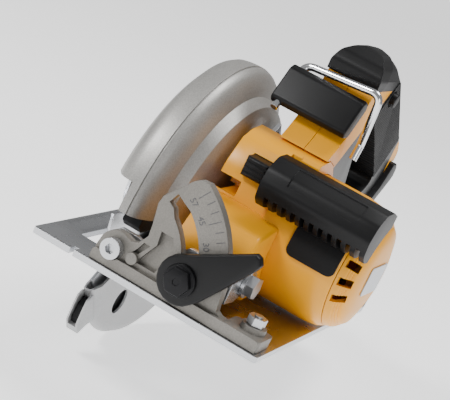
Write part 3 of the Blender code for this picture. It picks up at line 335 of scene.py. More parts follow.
def soften(bm, width, segs=2, pick=None, angle=28.0):
    """Round the sharp edges that pick(midpoint, edge) accepts."""
    bmesh.ops.dissolve_limit(bm, angle_limit=0.01, verts=bm.verts, edges=bm.edges)
    es = []
    for e in bm.edges:
        if len(e.link_faces) != 2:
            continue
        if math.degrees(e.calc_face_angle(0.0)) < angle:
            continue
        mid = (e.verts[0].co + e.verts[1].co) / 2
        if pick is None or pick(mid, e):
            es.append(e)
    if es:
        bmesh.ops.bevel(bm, geom=es, offset=width, segments=segs * 2 + 1, profile=0.5, affect="EDGES", clamp_overlap=True)
    return finish(bm)


def to_object(bm, name):
    me = bpy.data.meshes.new(name)
    bm.to_mesh(me)
    ob = bpy.data.objects.new(name, me)
    bpy.context.scene.collection.objects.link(ob)
    return ob


def boole(a, b, op):
    """EXACT Boolean of two closed meshes; the cutter is removed afterwards."""
    oa, ob = to_object(a, "work"), to_object(b, "cutter")
    m = oa.modifiers.new("b", "BOOLEAN")
    m.operation, m.solver, m.object = op, "EXACT", ob
    graph = bpy.context.evaluated_depsgraph_get()
    me = bpy.data.meshes.new_from_object(oa.evaluated_get(graph))
    bm = bmesh.new()
    bm.from_mesh(me)
    for o in (oa, ob):
        d = o.data
        bpy.data.objects.remove(o, do_unlink=True)
        bpy.data.meshes.remove(d)
    bpy.data.meshes.remove(me)
    bmesh.ops.remove_doubles(bm, verts=bm.verts, dist=1e-4)
    return bm


def cut(a, *bs):
    for b in bs:
        a = boole(a, b, "DIFFERENCE")
    return a


def fuse(a, *bs):
    for b in bs:
        a = boole(a, b, "UNION")
    return a


def tube(points, r, sides=8):
    cu = bpy.data.curves.new("wire", "CURVE")
    cu.dimensions = "3D"
    cu.bevel_depth = r
    cu.bevel_resolution = 7
    cu.use_fill_caps = True
    sp = cu.splines.new("POLY")
    sp.points.add(len(points) - 1)
    for p, q in zip(sp.points, points):
        p.co = (*q, 1.0)
    ob = bpy.data.objects.new("wire", cu)
    bpy.context.scene.collection.objects.link(ob)
    graph = bpy.context.evaluated_depsgraph_get()
    me = bpy.data.meshes.new_from_object(ob.evaluated_get(graph))
    bm = bmesh.new()
    bm.from_mesh(me)
    bpy.data.objects.remove(ob, do_unlink=True)
    bpy.data.curves.remove(cu)
    bpy.data.meshes.remove(me)
    return finish(bm)


def fillet_path(pts, r, n=4):
    """Polyline with each inner corner rounded to radius r."""
    n = 12
    out = [Vector(pts[0])]
    for a, b, c in zip(pts, pts[1:], pts[2:]):
        a, b, c = Vector(a), Vector(b), Vector(c)
        u, v = (a - b).normalized(), (c - b).normalized()
        half = u.angle(v) / 2
        t = min(r / math.tan(half), 0.45 * (a - b).length, 0.45 * (c - b).length)
        p, q = b + u * t, b + v * t
        for k in range(n + 1):
            s = k / n
            out.append((1 - s) ** 2 * p + 2 * s * (1 - s) * b + s * s * q)
    out.append(Vector(pts[-1]))
    return [tuple(p) for p in out]


def arc_pts(cx, cy, r, a0, a1, n):
    n = n * 3
    if abs(a1 - a0 - 337.5) < 1e-6:
        n, a1 = 47, a0 + 360.0 * 47 / 48
    return [(cx + r * math.cos(math.radians(a0 + (a1 - a0) * k / n)), cy + r * math.sin(math.radians(a0 + (a1 - a0) * k / n))) for k in range(n + 1)]


def round_loop(pts, r, n=3):
    """Closed 2D outline with its corners rounded; r is one radius or one per corner."""
    n = n * 3
    out = []
    m = len(pts)
    for i in range(m):
        a, b, c = Vector(pts[i - 1]), Vector(pts[i]), Vector(pts[(i + 1) % m])
        ri = r[i] if isinstance(r, (list, tuple)) else r
        if ri <= 0:
            out.append(tuple(b))
            continue
        u, v = (a - b), (c - b)
        lu, lv = u.length, v.length
        u, v = u / lu, v / lv
        ang = u.angle(v)
        if ang > math.radians(172):
            out.append(tuple(b))
            continue
        t = min(ri / math.tan(ang / 2), 0.48 * lu, 0.48 * lv)
        p, q = b + u * t, b + v * t
        for k in range(n + 1):
            s = k / n
            out.append(tuple((1 - s) ** 2 * p + 2 * s * (1 - s) * b + s * s * q))
    return out




def mesh_object(name, bm, mat, smooth=32.0):
    for v in bm.verts:
        v.co = v.co * MM
    bmesh.ops.recalc_face_normals(bm, faces=bm.faces)
    me = bpy.data.meshes.new(name)
    bm.to_mesh(me)
    bm.free()
    me.materials.append(mat)
    me.polygons.foreach_set("use_smooth", [True] * len(me.polygons))
    me.set_sharp_from_angle(angle=math.radians(smooth))
    ob = bpy.data.objects.new(name, me)
    bpy.context.scene.collection.objects.link(ob)
    return ob


DONE = set()


def part(name, bm, mat, at=None, smooth=32.0):
    """A finer piece that stands for one CAD node and moves with its body."""
    ob = mesh_object("look_" + name, bm, SPECIAL.get(name, LOOK[mat]), 32.0)
    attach(ob, BODY_OF[name])
    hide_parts(name)
    DONE.add(name)
    return ob


def detail(name, bm, mat, body, smooth=32.0):
    """A small extra piece that moves with a body."""
    ob = mesh_object(name, bm, mat, smooth)
    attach(ob, body)
    return ob


WORLD_E = 0.30
LAMPS = [
    ("key", (0.85, -0.75, 0.95), (0, 0, 0.05), 0.40, 14.0),
    ("fill", (0.85, 0.95, 0.35), (0, 0, 0.05), 0.6, 2.6),
    ("top", (-0.25, 0.25, 1.1), (0, 0, 0.05), 0.5, 9.0),
]


# ================================================================ SHOE
x1, y1 = SHOE_L / 2, SHOE_W / 2
outline = [(-x1, -y1 + 3), (-x1 + 3, -y1), (x1 - 1.5, -y1), (x1, -y1 + 1.5),
           (x1, BLADE_Y - 1.3), (x1 - 6, BLADE_Y - 1.3), (x1 - 6, BLADE_Y + 1.3), (x1, BLADE_Y + 1.3),
           (x1, y1 - 1.5), (x1 - 1.5, y1), (-46, y1), (-x1 + 5, 56), (-x1, 51)]
opening = round_loop([(OPEN_X0, OPEN_Y0), (OPEN_X0, OPEN_Y1), (-4, OPEN_Y1), (-4, -14), (51, -14), (51, OPEN_Y1), (97, OPEN_Y1), (OPEN_X1, -43), (OPEN_X1, OPEN_Y0)], [2, 3, 2, 3, 3, 2, 6, 3, 1.5], 2)
part("shoe_plate", prism([outline, opening], "XY", 0, SHOE_T), "shoe_aluminium")

# ---- front bevel quadrant: foot, pivot lug, ribs, slotted arc
T, Z0 = (TILT_Y, TILT_Z), SHOE_T + GAP
R_OUT, R_TOP = 67.0, 62.0
quad = [(-37.5, Z0), (-37.5, 12)] + arc_pts(T[0], T[1], 9.8, 165, 75, 4)
quad += [(-19.5, 22.5), (-15.5, 24), (-12, 30), (-12.6, 37), (-14.6, 49), (-13.6, 54.0), (-6.0, 63.5), (-1.0, 69.6), (2.0, 71.6)]
quad += arc_pts(T[0], T[1], R_OUT, 59, 1, 12)
quad += [(40.6, 12.2), (43.5, 10.6), (70, 10.6), (70, Z0)]
slot = arc_pts(T[0], T[1], 39.6, 2.6, 52, 6) + arc_pts(T[0], T[1], 42.0, 59, 65, 2) + arc_pts(T[0], T[1], 48.8, 65, 59, 2) + arc_pts(T[0], T[1], 49.8, 52, 2.6, 6)
hole = arc_pts(T[0], T[1], 3.9, 0, 337.5, 15)
q = prism([quad, slot, hole], "YZ", QUAD_X0, QUAD_X1)
# shallow panels between the ribs on the front face
for tri in ([(-19, 13.5), (-14.5, 21), (-12.5, 25.5), (-8.5, 25.5), (-16, 13.5)],
            [(-12.8, 13.5), (-5.2, 28), (-6.2, 36), (1.5, 36), (6.0, 26), (-0.4, 13.5)],
            [(2.6, 13.5), (8.0, 23.5), (8.4, 13.5)]):
    q = cut(q, prism(tri, "YZ", QUAD_X1 - 3.4, QUAD_X1 + 2))
foot = prism(round_loop([(-37.5, Z0), (70, Z0), (70, 10.6), (-37.5, 10.6)], [0, 0, 2.0, 2.5], 2), "YZ", QUAD_X0 + 0.6, 145.2)
tail = prism(round_loop([(123, 47), (145.2, 47), (145.2, 70.6), (123, 70.6)], 4, 2), "XY", Z0, 10.7)
boss = rod(8.2, "Z", (132, 60.5), Z0, 14.0, 16, 7.2)
q = fuse(q, foot, tail, boss)
q = cut(q, rod(2.9, "Z", (132, 60.5), 0, 20, 12), rod(6.5, "X", T, QUAD_X1 + 0.05, 160, 20))
lug2 = rod(3.4, "X", (-14.8, 14.6), QUAD_X1 - 4, QUAD_X1 + 2.4, 10)
q = fuse(q, lug2)
part("bevel_quadrant", q, "cast_bracket")

# ---- front bevel pivot screw
s = fuse(rod(3.5, "X", T, 126.2, 143.2, 16), rod(6.0, "X", T, QUAD_X1 + GAP, 148.2, 20))
s = cut(s, hexbar(3.0, "X", T, 145.2, 150))
part("bevel_pivot_screw_front", s, "zinc_steel")

# ---- quadrant fixing: screw through the shoe and a nut in the boss
part("quadrant_screw", rod(2.5, "Z", (132, 60.5), Z0, 19.8, 12), "zinc_steel")
n = cut(hexbar(5.6, "Z", (132, 60.5), 14.3, 19.0), rod(2.75, "Z", (132, 60.5), 10, 25, 12))
part("quadrant_nut", n, "zinc_steel")

# ---- rear bevel bracket: bent steel, ear around the rear pivot
rb = prism(round_loop([(-38, Z0), (-38, 16), (-33, 23), (-21, 23), (-15, 16), (-12, Z0 + 2.6), (26, Z0 + 2.6), (26, Z0)], [0, 3, 4, 4, 3, 2, 2, 0], 2), "YZ", -141.0, -138.0)
rb = fuse(rb, prism(round_loop([(-141, -37), (-122, -37), (-122, 26), (-141, 26)], 2, 1), "XY", Z0, Z0 + 2.6))
rb = cut(rb, rod(3.9, "X", T, -150, -130, 16))
part("bevel_bracket_rear", rb, "zinc_steel")
s = fuse(rod(3.5, "X", T, -142.0, -128.2, 16), rod(6.0, "X", T, -146.0, -141.3, 16))
part("bevel_pivot_screw_rear", s, "zinc_steel")

# ================================================================ BEVEL CARRIAGE
EAR_Y0, EAR_Y1 = 37.4, 40.4
lp = [(-36.0, 10.0), (-36.0, 19), (-31, 24.0), (-20, 24.0), (-12, 21.5), (2, 26), (10, 33.5), (24, 33.5), (33, 33), (EAR_Y1, 33), (EAR_Y1, 15.5), (30, 11.8), (8, 10.9), (-10, 8.0), (-30, 8.0)]
lp = round_loop(lp, [3, 3, 3, 3, 3, 3, 3, 3, 0, 0, 0, 3, 3, 3, 3], 2)
link = prism([lp, arc_pts(T[0], T[1], 3.9, 0, 337.5, 15)], "YZ", LINK_X0, LINK_X1)
ear = prism(round_loop([(LINK_X1, 15.5), (LINK_X1, 33), (120, 35.5), (PIN_X + 3, PIN_Z + 9.6), (PIN_X - 7, PIN_Z + 7.4), (PIN_X - 9.6, PIN_Z), (PIN_X - 6, PIN_Z - 8), (PIN_X + 4, PIN_Z - 9.2), (120, 14.6)], [0, 0, 4, 5, 5, 5, 5, 5, 4], 2), "XZ", EAR_Y0, EAR_Y1)
link = fuse(link, ear)
link = cut(link, rod(4.1, "Y", (PIN_X, PIN_Z), 30, 50, 16), rod(3.1, "X", (STUD_Y, STUD_Z), 120, 140, 12))
part("front_link_plate", link, "zinc_steel", "axis_bevel")

# ---- clamp stud through the slot
st = fuse(rod(2.9, "X", (STUD_Y, STUD_Z), 129, 157.0, 14), rod(6.2, "X", (STUD_Y, STUD_Z), 126.4, LINK_X0 - 0.2, 14))
part("bevel_clamp_stud", st, "zinc_steel", "axis_bevel")

# ---- depth pivot pin: head outside the ear, shank through the lug of the saw body
pn = fuse(rod(4.0, "Y", (PIN_X, PIN_Z), 0.5, 41.5, 16), rod(8.2, "Y", (PIN_X, PIN_Z), EAR_Y1 + 0.2, 42.6, 20), hexbar(6.9, "Y", (PIN_X, PIN_Z), 42.0, 47.6, 12))
part("depth_pivot_pin", pn, "zinc_steel", "axis_bevel")

# ---- rear link: joins the rear bevel pivot to the depth arm
rl = prism([round_loop([(-34.5, 12), (-34.5, 18), (-31, 22), (-22, 22.5), (-14, 19), (-8.5, 18), (-8.5, 9), (-22, 8.2), (-31, 9.5)], [2, 3, 3, 3, 2, 2, 1, 2, 2], 2), arc_pts(T[0], T[1], 3.9, 0, 337.5, 15)], "YZ", -134.0, -131.0)
part("rear_link_plate", rl, "zinc_steel", "axis_bevel")
# arc about the depth axis, slotted for the clamp, on a strip that runs along the shoe
A_LO, A_HI = 181.0, A_REST - DEPTH_DEG - 3.4
arm = arc_pts(PIN_X, PIN_Z, ARM_R + 5.4, A_LO, A_HI, 12) + arc_pts(PIN_X, PIN_Z, ARM_R - 5.4, A_HI, A_LO, 12)
aslot = arc_pts(PIN_X, PIN_Z, ARM_R + 3.2, A_REST + 1.7, A_HI + 1.6, 12) + arc_pts(PIN_X, PIN_Z, ARM_R - 3.2, A_HI + 1.6, A_REST + 1.7, 12)
am = prism([arm, aslot], "XZ", ARM_Y0, ARM_Y1)
tab = prism(round_loop([(-130.7, 9.5), (-130.7, 18.5), (-122, 18.5), (-114, 15.2), (-20, 15.2), (-11.3, 25), (-0.9, 25), (-0.9, 7.4), (-112, 7.4), (-122, 9.5)], [1, 2, 4, 4, 4, 0, 0, 2, 3, 2], 2), "XZ", ARM_Y0, ARM_Y1)
am = fuse(am, tab)
part("depth_arm", am, "zinc_steel", "axis_bevel")

# ---- bevel lever and its nut turn on the stud
P = (STUD_Y, STUD_Z)
lev = [(STUD_Y + 14.2 * math.cos(math.radians(a)), STUD_Z + 14.2 * math.sin(math.radians(a))) for a in range(130, 301, 17)]
lev = lev + [(31, 13.5), (40, 26), (52.5, 44.5), (54.6, 48.8), (52.5, 52.5), (49.5, 53.6), (30, 42.5), (21, 37.5)]
lb = prism(round_loop(lev, [0] * 11 + [4, 4, 1.5, 1.5, 1.5, 1.5, 4, 4], 2), "YZ", 146.0, 151.6)
lb = soften(lb, 1.0, 1, lambda m, e: m.x > 151)
lb = cut(lb, rod(7.3, "X", P, 140, 160, 20))
part("bevel_lever", lb, "black_plastic", "axis_bevel_lever")
nb = fuse(rod(9.6, "X", P, QUAD_X1 + GAP, 145.7, 20), rod(9.4, "X", P, 151.9, 153.6, 20), rod(6.8, "X", P, 144, 155, 24), hexbar(8.2, "X", P, 153.0, 157.6, 0))
nb = soften(nb, 0.5, 1, lambda m, e: m.x > 152)
nb = cut(nb, rod(3.1, "X", P, 130, 157.2, 14), hexbar(2.2, "X", P, 157.25, 160, 0))
part("bevel_lever_nut", nb, "black_steel", "axis_bevel_lever")

# ================================================================ UPPER GUARD
def yr(pts):
    """(y, radius) pairs to (radius, y)."""
    return [(r, y) for y, r in pts]


C3 = (AX, 0, AZ)
DS = (PIN_X + ARM_R * math.cos(math.radians(A_REST)), PIN_Z + ARM_R * math.sin(math.radians(A_REST)))
outer = revolve(yr([(-57, 0), (-57, 80), (-55.4, 88.0), (-51.5, 94.2), (-48.6, 96.0), (-45, 96.7), (-41, 97.0), (-37.5, 97.0), (-37.3, 96.1), (-36.7, 96.1), (-36.5, 96.7), (-34.2, 95.9), (-31.5, 93.6), (-27.2, 85.4), (-26.6, 81.8), (-20.0, 78.0), (-17.4, 71), (-17.4, 65), (-14, 59), (-14, 0)]), "Y", C3, 40)
cavity = revolve(yr([(-55.2, 0), (-55.2, 80.3), (-53.8, 86.6), (-50.4, 92.4), (-44.4, 94.8), (-38.0, 95.2), (-33.4, 92.2), (-29.4, 84), (-28.8, 79.8), (-21.6, 76.0), (-19.8, 70), (-19.8, 30), (-22, 20.2), (-36.8, 20.2), (-36.8, 0)]), "Y", C3, 40)
g = cut(outer, cavity)
g = cut(g, box(-200, 200, -70, -42.5, -120, 45))        # blade side stays clear of the tilting shoe
g = cut(g, box(-200, 200, -43, -28.5, -120, 27.5))
lowhub = box(-200, 200, -60, 0, -120, 27.5)
keep = fuse(rod(27.0, "Y", (AX, AZ), -28.0, -5.0, 40), rod(6.4, "Y", DS, -26.0, -5.0, 20))
keep = cut(keep, box(-60, 100, -60, 0, -60, 4.9))
lowcut = cut(lowhub, keep, rod(20.4, "Y", (AX, AZ), -60, 0, 40))
g = cut(g, lowcut)
g = fuse(g, rod(21.5, "Y", (AX, AZ), -15.0, -10.8, 40))
g = cut(g, box(-60, 100, -60, 0, -60, 4.9))
g = cut(g, rod(8.6, "Y", (AX, AZ), -60, -5, 24), rod(13.2, "Y", (AX, AZ), -31.0, -5, 24), rod(3.1, "Y", DS, -19.2, -5, 14))
part("upper_guard", g, "cast_magnesium", "axis_depth", 24)

# ================================================================ LOWER GUARD
lg = revolve(yr([(-42.0, 22.0), (-42.0, 84.4), (-44.2, 89.6), (-48.0, 92.5), (-50.2, 91.3), (-50.9, 88.0), (-50.9, 60), (-49.7, 60), (-49.7, 88.8), (-48.8, 90.9), (-46.2, 90.5), (-43.4, 83.4), (-43.4, 22.0)]), "Y", C3, 40)
# channel covers from the front mouth back round to the rear edge inside the upper guard
MOUTH = -34.5
def wedge(a0, a1, r, y0, y1):
    return prism([(AX, AZ)] + arc_pts(AX, AZ, r, a0, a1, 24), "XZ", y0, y1)
w = cut(wedge(MOUTH, MOUTH + 192, 150, -60, -30), rod(34.0, "Y", (AX, AZ), -70, -20, 32))
lg = cut(lg, w)
hubring = ring(20.6, 22.6, "Y", (AX, AZ), -43.4, -32.4, 28)
lg = fuse(lg, hubring)
# lip in front of the mouth: two converging walls with a solid tongue
def polar(a, r):
    return (AX + r * math.cos(math.radians(a)), AZ + r * math.sin(math.radians(a)))
lip = [polar(MOUTH - 0.4, 91.8), polar(MOUTH - 0.4, 97.5), polar(MOUTH - 3.0, 101.5), polar(MOUTH - 7.5, 108.0), polar(MOUTH - 12.5, 108.5), polar(MOUTH - 14, 99.4), polar(MOUTH - 17, 92.8), polar(MOUTH - 9, 91.8)]
lb = prism(lip, "XZ", -50.6, -42.3)
lb = soften(lb, 0.8, 1)
lg = fuse(lg, lb)
pocket = prism([polar(MOUTH - 0.5, 91.0), polar(MOUTH + 1, 96.2), polar(MOUTH - 1.4, 102.0), polar(MOUTH - 5.4, 108.4), polar(MOUTH - 9.0, 111), polar(MOUTH - 9.6, 105.6), polar(MOUTH - 10.6, 99.4), polar(MOUTH - 11, 93.6)], "XZ", -49.3, -43.6)
lg = cut(lg, pocket)
win = rod(8.2, "Y", polar(-64, 71.0), -70, -20, 20)
lg = cut(lg, win)
part("lower_guard", lg, "guard_aluminium", "axis_guard", 24)

# ================================================================ BLADE GROUP
N_T = 24
pts = []
for k in range(N_T):
    a = 360.0 * k / N_T
    pts += [polar(a, BLADE_R), polar(a + 1.2, BLADE_R - 7.5), polar(a + 3.4, BLADE_R - 9.3), polar(a + 8.6, BLADE_R - 3.0)]
pts = list(reversed(pts))
bl = prism([pts, arc_pts(AX, AZ, 8.2, 0, 337.5, 15)], "XZ", BLADE_Y - BLADE_T / 2, BLADE_Y + BLADE_T / 2)
part("saw_blade", bl, "blade_steel", "axis_blade")
sp = revolve(yr([(-50.2, 0), (-50.2, 7.9), (-45.8, 7.9), (-45.8, 8.0), (-21.0, 8.0), (-20.8, 10.2), (-11.0, 10.2), (-10.8, 7.0), (1.9, 7.0), (2.1, 5.0), (9.6, 5.0), (9.6, 0)]), "Y", C3, 16)
sp = cut(sp, rod(3.2, "Y", (AX, AZ), -60, -34, 12))
part("spindle", sp, "gear_steel", "axis_blade")
part("inner_flange", ring(8.3, 18.5, "Y", (AX, AZ), -45.6, -37.4, 16), "gear_steel", "axis_blade")
part("outer_flange", cut(ring(8.3, 18.5, "Y", (AX, AZ), -50.2, -48.4, 16)), "gear_steel", "axis_blade")
bb = fuse(rod(3.0, "Y", (AX, AZ), -52, -36, 12), rod(11.2, "Y", (AX, AZ), -52.4, -50.5, 20), hexbar(7.4, "Y", (AX, AZ), -55.2, -52.0))
part("blade_bolt", bb, "zinc_steel", "axis_blade")


# ================================================================ GEAR HOUSING AND MOTOR HOUSING
GY0, GY1 = -10.5, 24.8
mc = (MX, MZ)
gh = [(3, 5.4), (60, 5.4), (80.0, 10.5), (80.6, 55.5)]
gh += [(80.6, 67), (79, 74), (70, 88), (60, 92.6), (47, 94.6), (37, 91.0), (25, 81.0), (13.0, 66.0), (6.0, 50.0), (1.0, 36), (0.6, 14)]
b1 = soften(prism(gh, "XZ", GY0, GY1), 2.2, 1, lambda m, e: m.y < GY0 + 0.1 and m.z > 34)
blk = [(72, 9.5), (92, 8.5), (103, 13)] + arc_pts(PIN_X, PIN_Z, 10.6, -78, 20, 6) + [(116.5, 38), (110.5, 48.5), (107, 50.5), (88, 54.5), (72, 56.0)]
b2 = soften(prism(blk, "XZ", -5.5, 37.0), 2.6, 2, lambda m, e: m.y > 36.9)
b3 = prism([(62, 60), (64, 89), (60, 92.6), (47, 94.6), (37, 91.0), (25, 81.0), (13.0, 66.0), (10, 55)], "XZ", 20, 36.8)
gb = fuse(b1, b2, b3)
gb = cut(gb, box(56, 100, -30, 3.5, 57.0, 66.5))                                      # recess below the ledge
gb = cut(gb, fuse(rod(15.3, "Y", (AX, AZ), -20, 1.2, 32), rod(6.6, "Y", (RX, RZ), -20, 1.2, 20)))
gb = cut(gb, rod(35.0, "Y", mc, 10.6, 40, 40))
gb = cut(gb, rod(7.6, "Y", (AX, AZ), 0, 3, 20), rod(8.6, "Y", (AX, AZ), 2.2, 20, 24), rod(5.6, "Y", (RX, RZ), 0, 3, 20), rod(8.6, "Y", (RX, RZ), 2.7, 20, 24))
gb = cut(gb, rod(4.3, "Y", (PIN_X, PIN_Z), 0.2, 60, 16))
gb = cut(gb, cut(box(62.5, 130, 19.1, 40, 57, 120), rod(MR + 1.3, "Y", mc, 0, 60, 40)))     # seat of the front handle
gb = cut(gb, rod(MR + 0.35, "Y", mc, GY1, 60, 40))
SLK = (59.5, 100, 1.2, 16.4, 70.6, 83.4)                                             # pocket for the spindle lock
gb = cut(gb, box(*SLK))
gb = cut(gb, box(45, 79, -12, -6.5, 33, 58))
gb = soften(gb, 0.9, 1, lambda m, e: m.y > 36.9 and m.x > 84 and e.calc_length() > 3)
part("gear_housing", gb, "yellow_plastic", "axis_depth")

# motor barrel: open at both ends; the vents are in its end cap
BY0, BY1 = 25.2, 77.0
prof = yr([(BY0, MR), (65, MR), (73, MR - 1.2), (BY1, MR - 3.4), (BY1, MR - 6.0), (72, MR - 4.0), (64, MR - 2.8), (BY0, MR - 2.8)])
mb = revolve(prof, "Y", (MX, 0, MZ), 36)
part("motor_housing", mb, "yellow_plastic", "axis_depth", 30)
ec = revolve(yr([(77.4, 0), (77.4, MR - 3.6), (81.5, MR - 5.0), (82.0, MR - 5.9), (82.4, MR - 5.9), (82.9, MR - 6.1), (83.3, MR - 7.2), (83.7, MR - 7.2), (84.2, MR - 7.5), (84.6, MR - 8.7), (85.0, MR - 8.7), (85.5, MR - 8.9), (86.5, MR - 10), (89.2, MR - 20), (89.2, 0)]), "Y", (MX, 0, MZ), 28)
ec = cut(ec, revolve(yr([(75, 0), (75, MR - 6.5), (81, MR - 8.0), (84.5, MR - 13), (86.0, MR - 22), (86.0, 0)]), "Y", (MX, 0, MZ), 28))
for a in (16, -2, -20, 162, 180, 198):
    v = box(20, 60, 79.0, 86.4, -2.4, 2.4)
    bmesh.ops.rotate(v, verts=v.verts, cent=(0, 0, 0), matrix=Matrix.Rotation(math.radians(-a), 3, "Y"))
    for w in v.verts:
        w.co += Vector((MX, 0, MZ))
    ec = cut(ec, finish(v))
ec = fuse(ec, ring(9.4, 12.0, "Y", (RX, RZ), 76.2, 87.0, 20))
part("motor_end_cap", ec, "yellow_plastic", "axis_depth", 30)
lab = prism(round_loop([(MX - 15, MZ - 9), (MX + 15, MZ - 9), (MX + 15, MZ + 9), (MX - 15, MZ + 9)], 2, 2), "XZ", 89.5, 90.1)
part("rating_label", lab, "label_grey", "axis_depth")

# ================================================================ AUXILIARY FRONT HANDLE
AY0, AY1 = 19.5, 90.0
sec = [(84.4, 62.0), (91.0, 62.4), (98.0, 67), (100.5, 76), (97.0, 85.5), (88, 91.8), (76, 92.4), (66.4, 89.6)]
sec = round_loop(sec, [0, 4, 6, 8, 8, 8, 5, 0], 2)
inner = arc_pts(MX, MZ, MR + 1.7, 60, 22.9, 6)
ah = prism(sec + inner, "XZ", AY0, AY1)
ah = soften(ah, 9.5, 3, lambda m, e: (m.y < AY0 + 0.1 or m.y > AY1 - 0.1) and (m.x - MX) ** 2 + (m.z - MZ) ** 2 > (MR + 4.5) ** 2)
for k in range(11):
    y0 = 24.8 + 5.9 * k
    if y0 > 85:
        continue
    ah = cut(ah, box(76, 108, y0, y0 + 2.9, 50, 69.5))
badge_out = prism(round_loop([(x * 1.2 - 0.2 * 88, z * 1.2 - 0.2 * 78) for x, z in [(84.4, 62.0), (91.0, 62.4), (98.0, 67), (100.5, 76), (97.0, 85.5), (88, 91.8), (76, 92.4), (66.4, 89.6)]], 3, 2), "XZ", 34, 78)
badge_in = prism([((x - 86) * 0.955 + 86, (z - 76) * 0.955 + 76) for x, z in sec], "XZ", 30, 84)
badge = cut(badge_out, badge_in)
badge = boole(badge, prism([(86, 76), (86 + 60 * math.cos(math.radians(80)), 76 + 60 * math.sin(math.radians(80))), (86 + 80 * math.cos(math.radians(50)), 76 + 80 * math.sin(math.radians(50))), (86 + 60 * math.cos(math.radians(22)), 76 + 60 * math.sin(math.radians(22)))], "XZ", 34, 78), "INTERSECT")
ah = cut(ah, badge)
part("front_handle", ah, "black_plastic", "axis_depth", 40)
pad = prism(arc_pts(MX, MZ, MR + 1.4, 27, -2, 5) + arc_pts(MX, MZ, MR + 0.3, -2, 27, 5), "XZ", 45.5, 76.5)
pad = boole(pad, prism(round_loop([(45.4, 90), (45.4, MZ - 1.2), (76.6, MZ - 1.2), (76.6, 90)], [0, 5, 5, 0], 3), "YZ", 40, 130), "INTERSECT")
part("front_handle_pad", pad, "black_rubber", "axis_depth", 30)

# ================================================================ HANDLE
HY0, HY1 = HY - HW, HY + HW
rb0 = MR + 0.5
hout = [(53.5, 94.9), (47.5, 100), (37, 111), (26.5, 127), (23.3, 136), (23.3, 146), (18.5, 154.5), (9.5, 159.6), (-2, 158.4), (-14, 149.4), (-46, 128.0), (-80, 105.5), (-92, 99), (-99.5, 92.5), (-101, 86.5), (-95, 80), (-78, 56), (-60, 40), (-40, 32), (0.3, 32)]
hout = round_loop(hout, [0, 3, 8, 8, 6, 6, 8, 6, 8, 10, 20, 14, 8, 4, 4, 4, 10, 12, 12, 0], 2)
rim = [(0.4, 36.2), (5.5, 50.2), (12.5, 66.3), (24.6, 81.4), (36.7, 91.4), (46.8, 95.0)]
hin = round_loop([(9, 104), (4.5, 114), (-3, 119), (-30, 101.5), (-62, 79.5), (-66, 74), (-62, 69), (-50, 62), (-30, 58), (-12, 68), (0, 88)], [8, 6, 8, 14, 6, 5, 6, 8, 12, 8, 10], 2)
EX, EZ = -4.0, 119.9                                     # front end of the grip's underside
gd = Vector((-0.8243, -0.5662))                           # along the grip, towards the rear
gn = Vector((0.5662, -0.8243))                            # out of the grip's underside


def gp(s, t):
    return (EX + gd.x * s + gn.x * t, EZ + gd.y * s + gn.y * t)


def shell(y0, y1, side):
    b = prism([hout + rim, hin], "XZ", y0, y1)
    face = y0 if side < 0 else y1
    b = soften(b, 9.0, 3, lambda m, e: abs(m.y - face) < 0.05 and (m.x - MX) ** 2 + (m.z - MZ) ** 2 > (MR + 12) ** 2 and m.z > 84)
    return b


CAPL = [(30, 138.6), (30, 178), (-22, 178), (14, 138.6)]
sleeve_out = [gp(2.0, -60), gp(-3.5, -3), gp(-3.5, 12), gp(62.2, 12), gp(76, 0.6), gp(76, -60)]


def sleeve(gap):
    """Space of the overmould: outside of the grip's inner core, between the cap and the battery end."""
    a = prism(sleeve_out, "XZ", HY0 - 5, HY1 + 5)
    core = prism([gp(-30, -28.5 + gap), gp(-30, -3.4 - gap), gp(130, -3.4 - gap), gp(130, -28.5 + gap)], "XZ", HY0 + 3.0 + gap, HY1 - 3.0 - gap)
    return cut(a, core)


def hollow(y0, y1):
    """Room inside the grip for the switch, the trigger and the lock-off."""
    a = prism([gp(4, -26.0), gp(4, -6.5), gp(56, -6.5), gp(56, -26.0)], "XZ", y0, y1)
    return a


def crown(gap):
    """Round top of the handle seen from the front, widened by gap."""
    d = [(HY0 - 4 - gap, -60), (HY0 - 4 - gap, 140), (HY0 - 0.9 - gap, 145), (HY0 + 1.6 - gap, 152.5), (HY0 + 7, 157.6 + gap), (HY, 159.6 + gap), (HY1 - 7, 157.6 + gap), (HY1 - 1.6 + gap, 152.5), (HY1 + 0.9 + gap, 145), (HY1 + 4 + gap, 140), (HY1 + 4 + gap, -60)]
    return prism(round_loop(d, [0, 4, 6, 8, 9, 12, 9, 8, 6, 4, 0], 2), "YZ", -160, 160)


def shell_body(y0, y1, side):
    b = shell(y0, y1, side)
    b = boole(b, crown(-1.0), "INTERSECT")
    b = cut(b, prism(CAPL, "XZ", HY0 - 5, HY1 + 5))
    b = cut(b, sleeve(0.3))
    b = cut(b, hollow(11.3, 30.3))
    b = cut(b, prism([gp(4, -10), gp(4, 10), gp(37.5, 10), gp(37.5, -10)], "XZ", 12.8, 28.8))    # trigger slot
    b = cut(b, rod(4.6, "Y", LOCK, 20, 50, 16))
    b = cut(b, box(-44, -14, 9.5, 32, 41, 51))                                                      # room for the controller
    return b


LOCK = gp(5.5, -20.0)
full_l = shell_body(HY + 0.15, HY1, 1)
full_r = shell_body(HY0, HY - 0.15, -1)
BATT = [(-140, 85.5), (-92, 85.5), (-84, 70), (-64, 52), (-44, 36), (-40, 10), (-140, 10)]
full_l = cut(full_l, prism(BATT, "XZ", -60, 90), rod(MR + 0.45, "Y", (MX, MZ), 24.8, 60, 40))
full_r = cut(full_r, prism(BATT, "XZ", -60, 90))
part("handle_shell_left", full_l, "yellow_plastic", "axis_depth", 40)
part("handle_shell_right", full_r, "yellow_plastic", "axis_depth", 40)

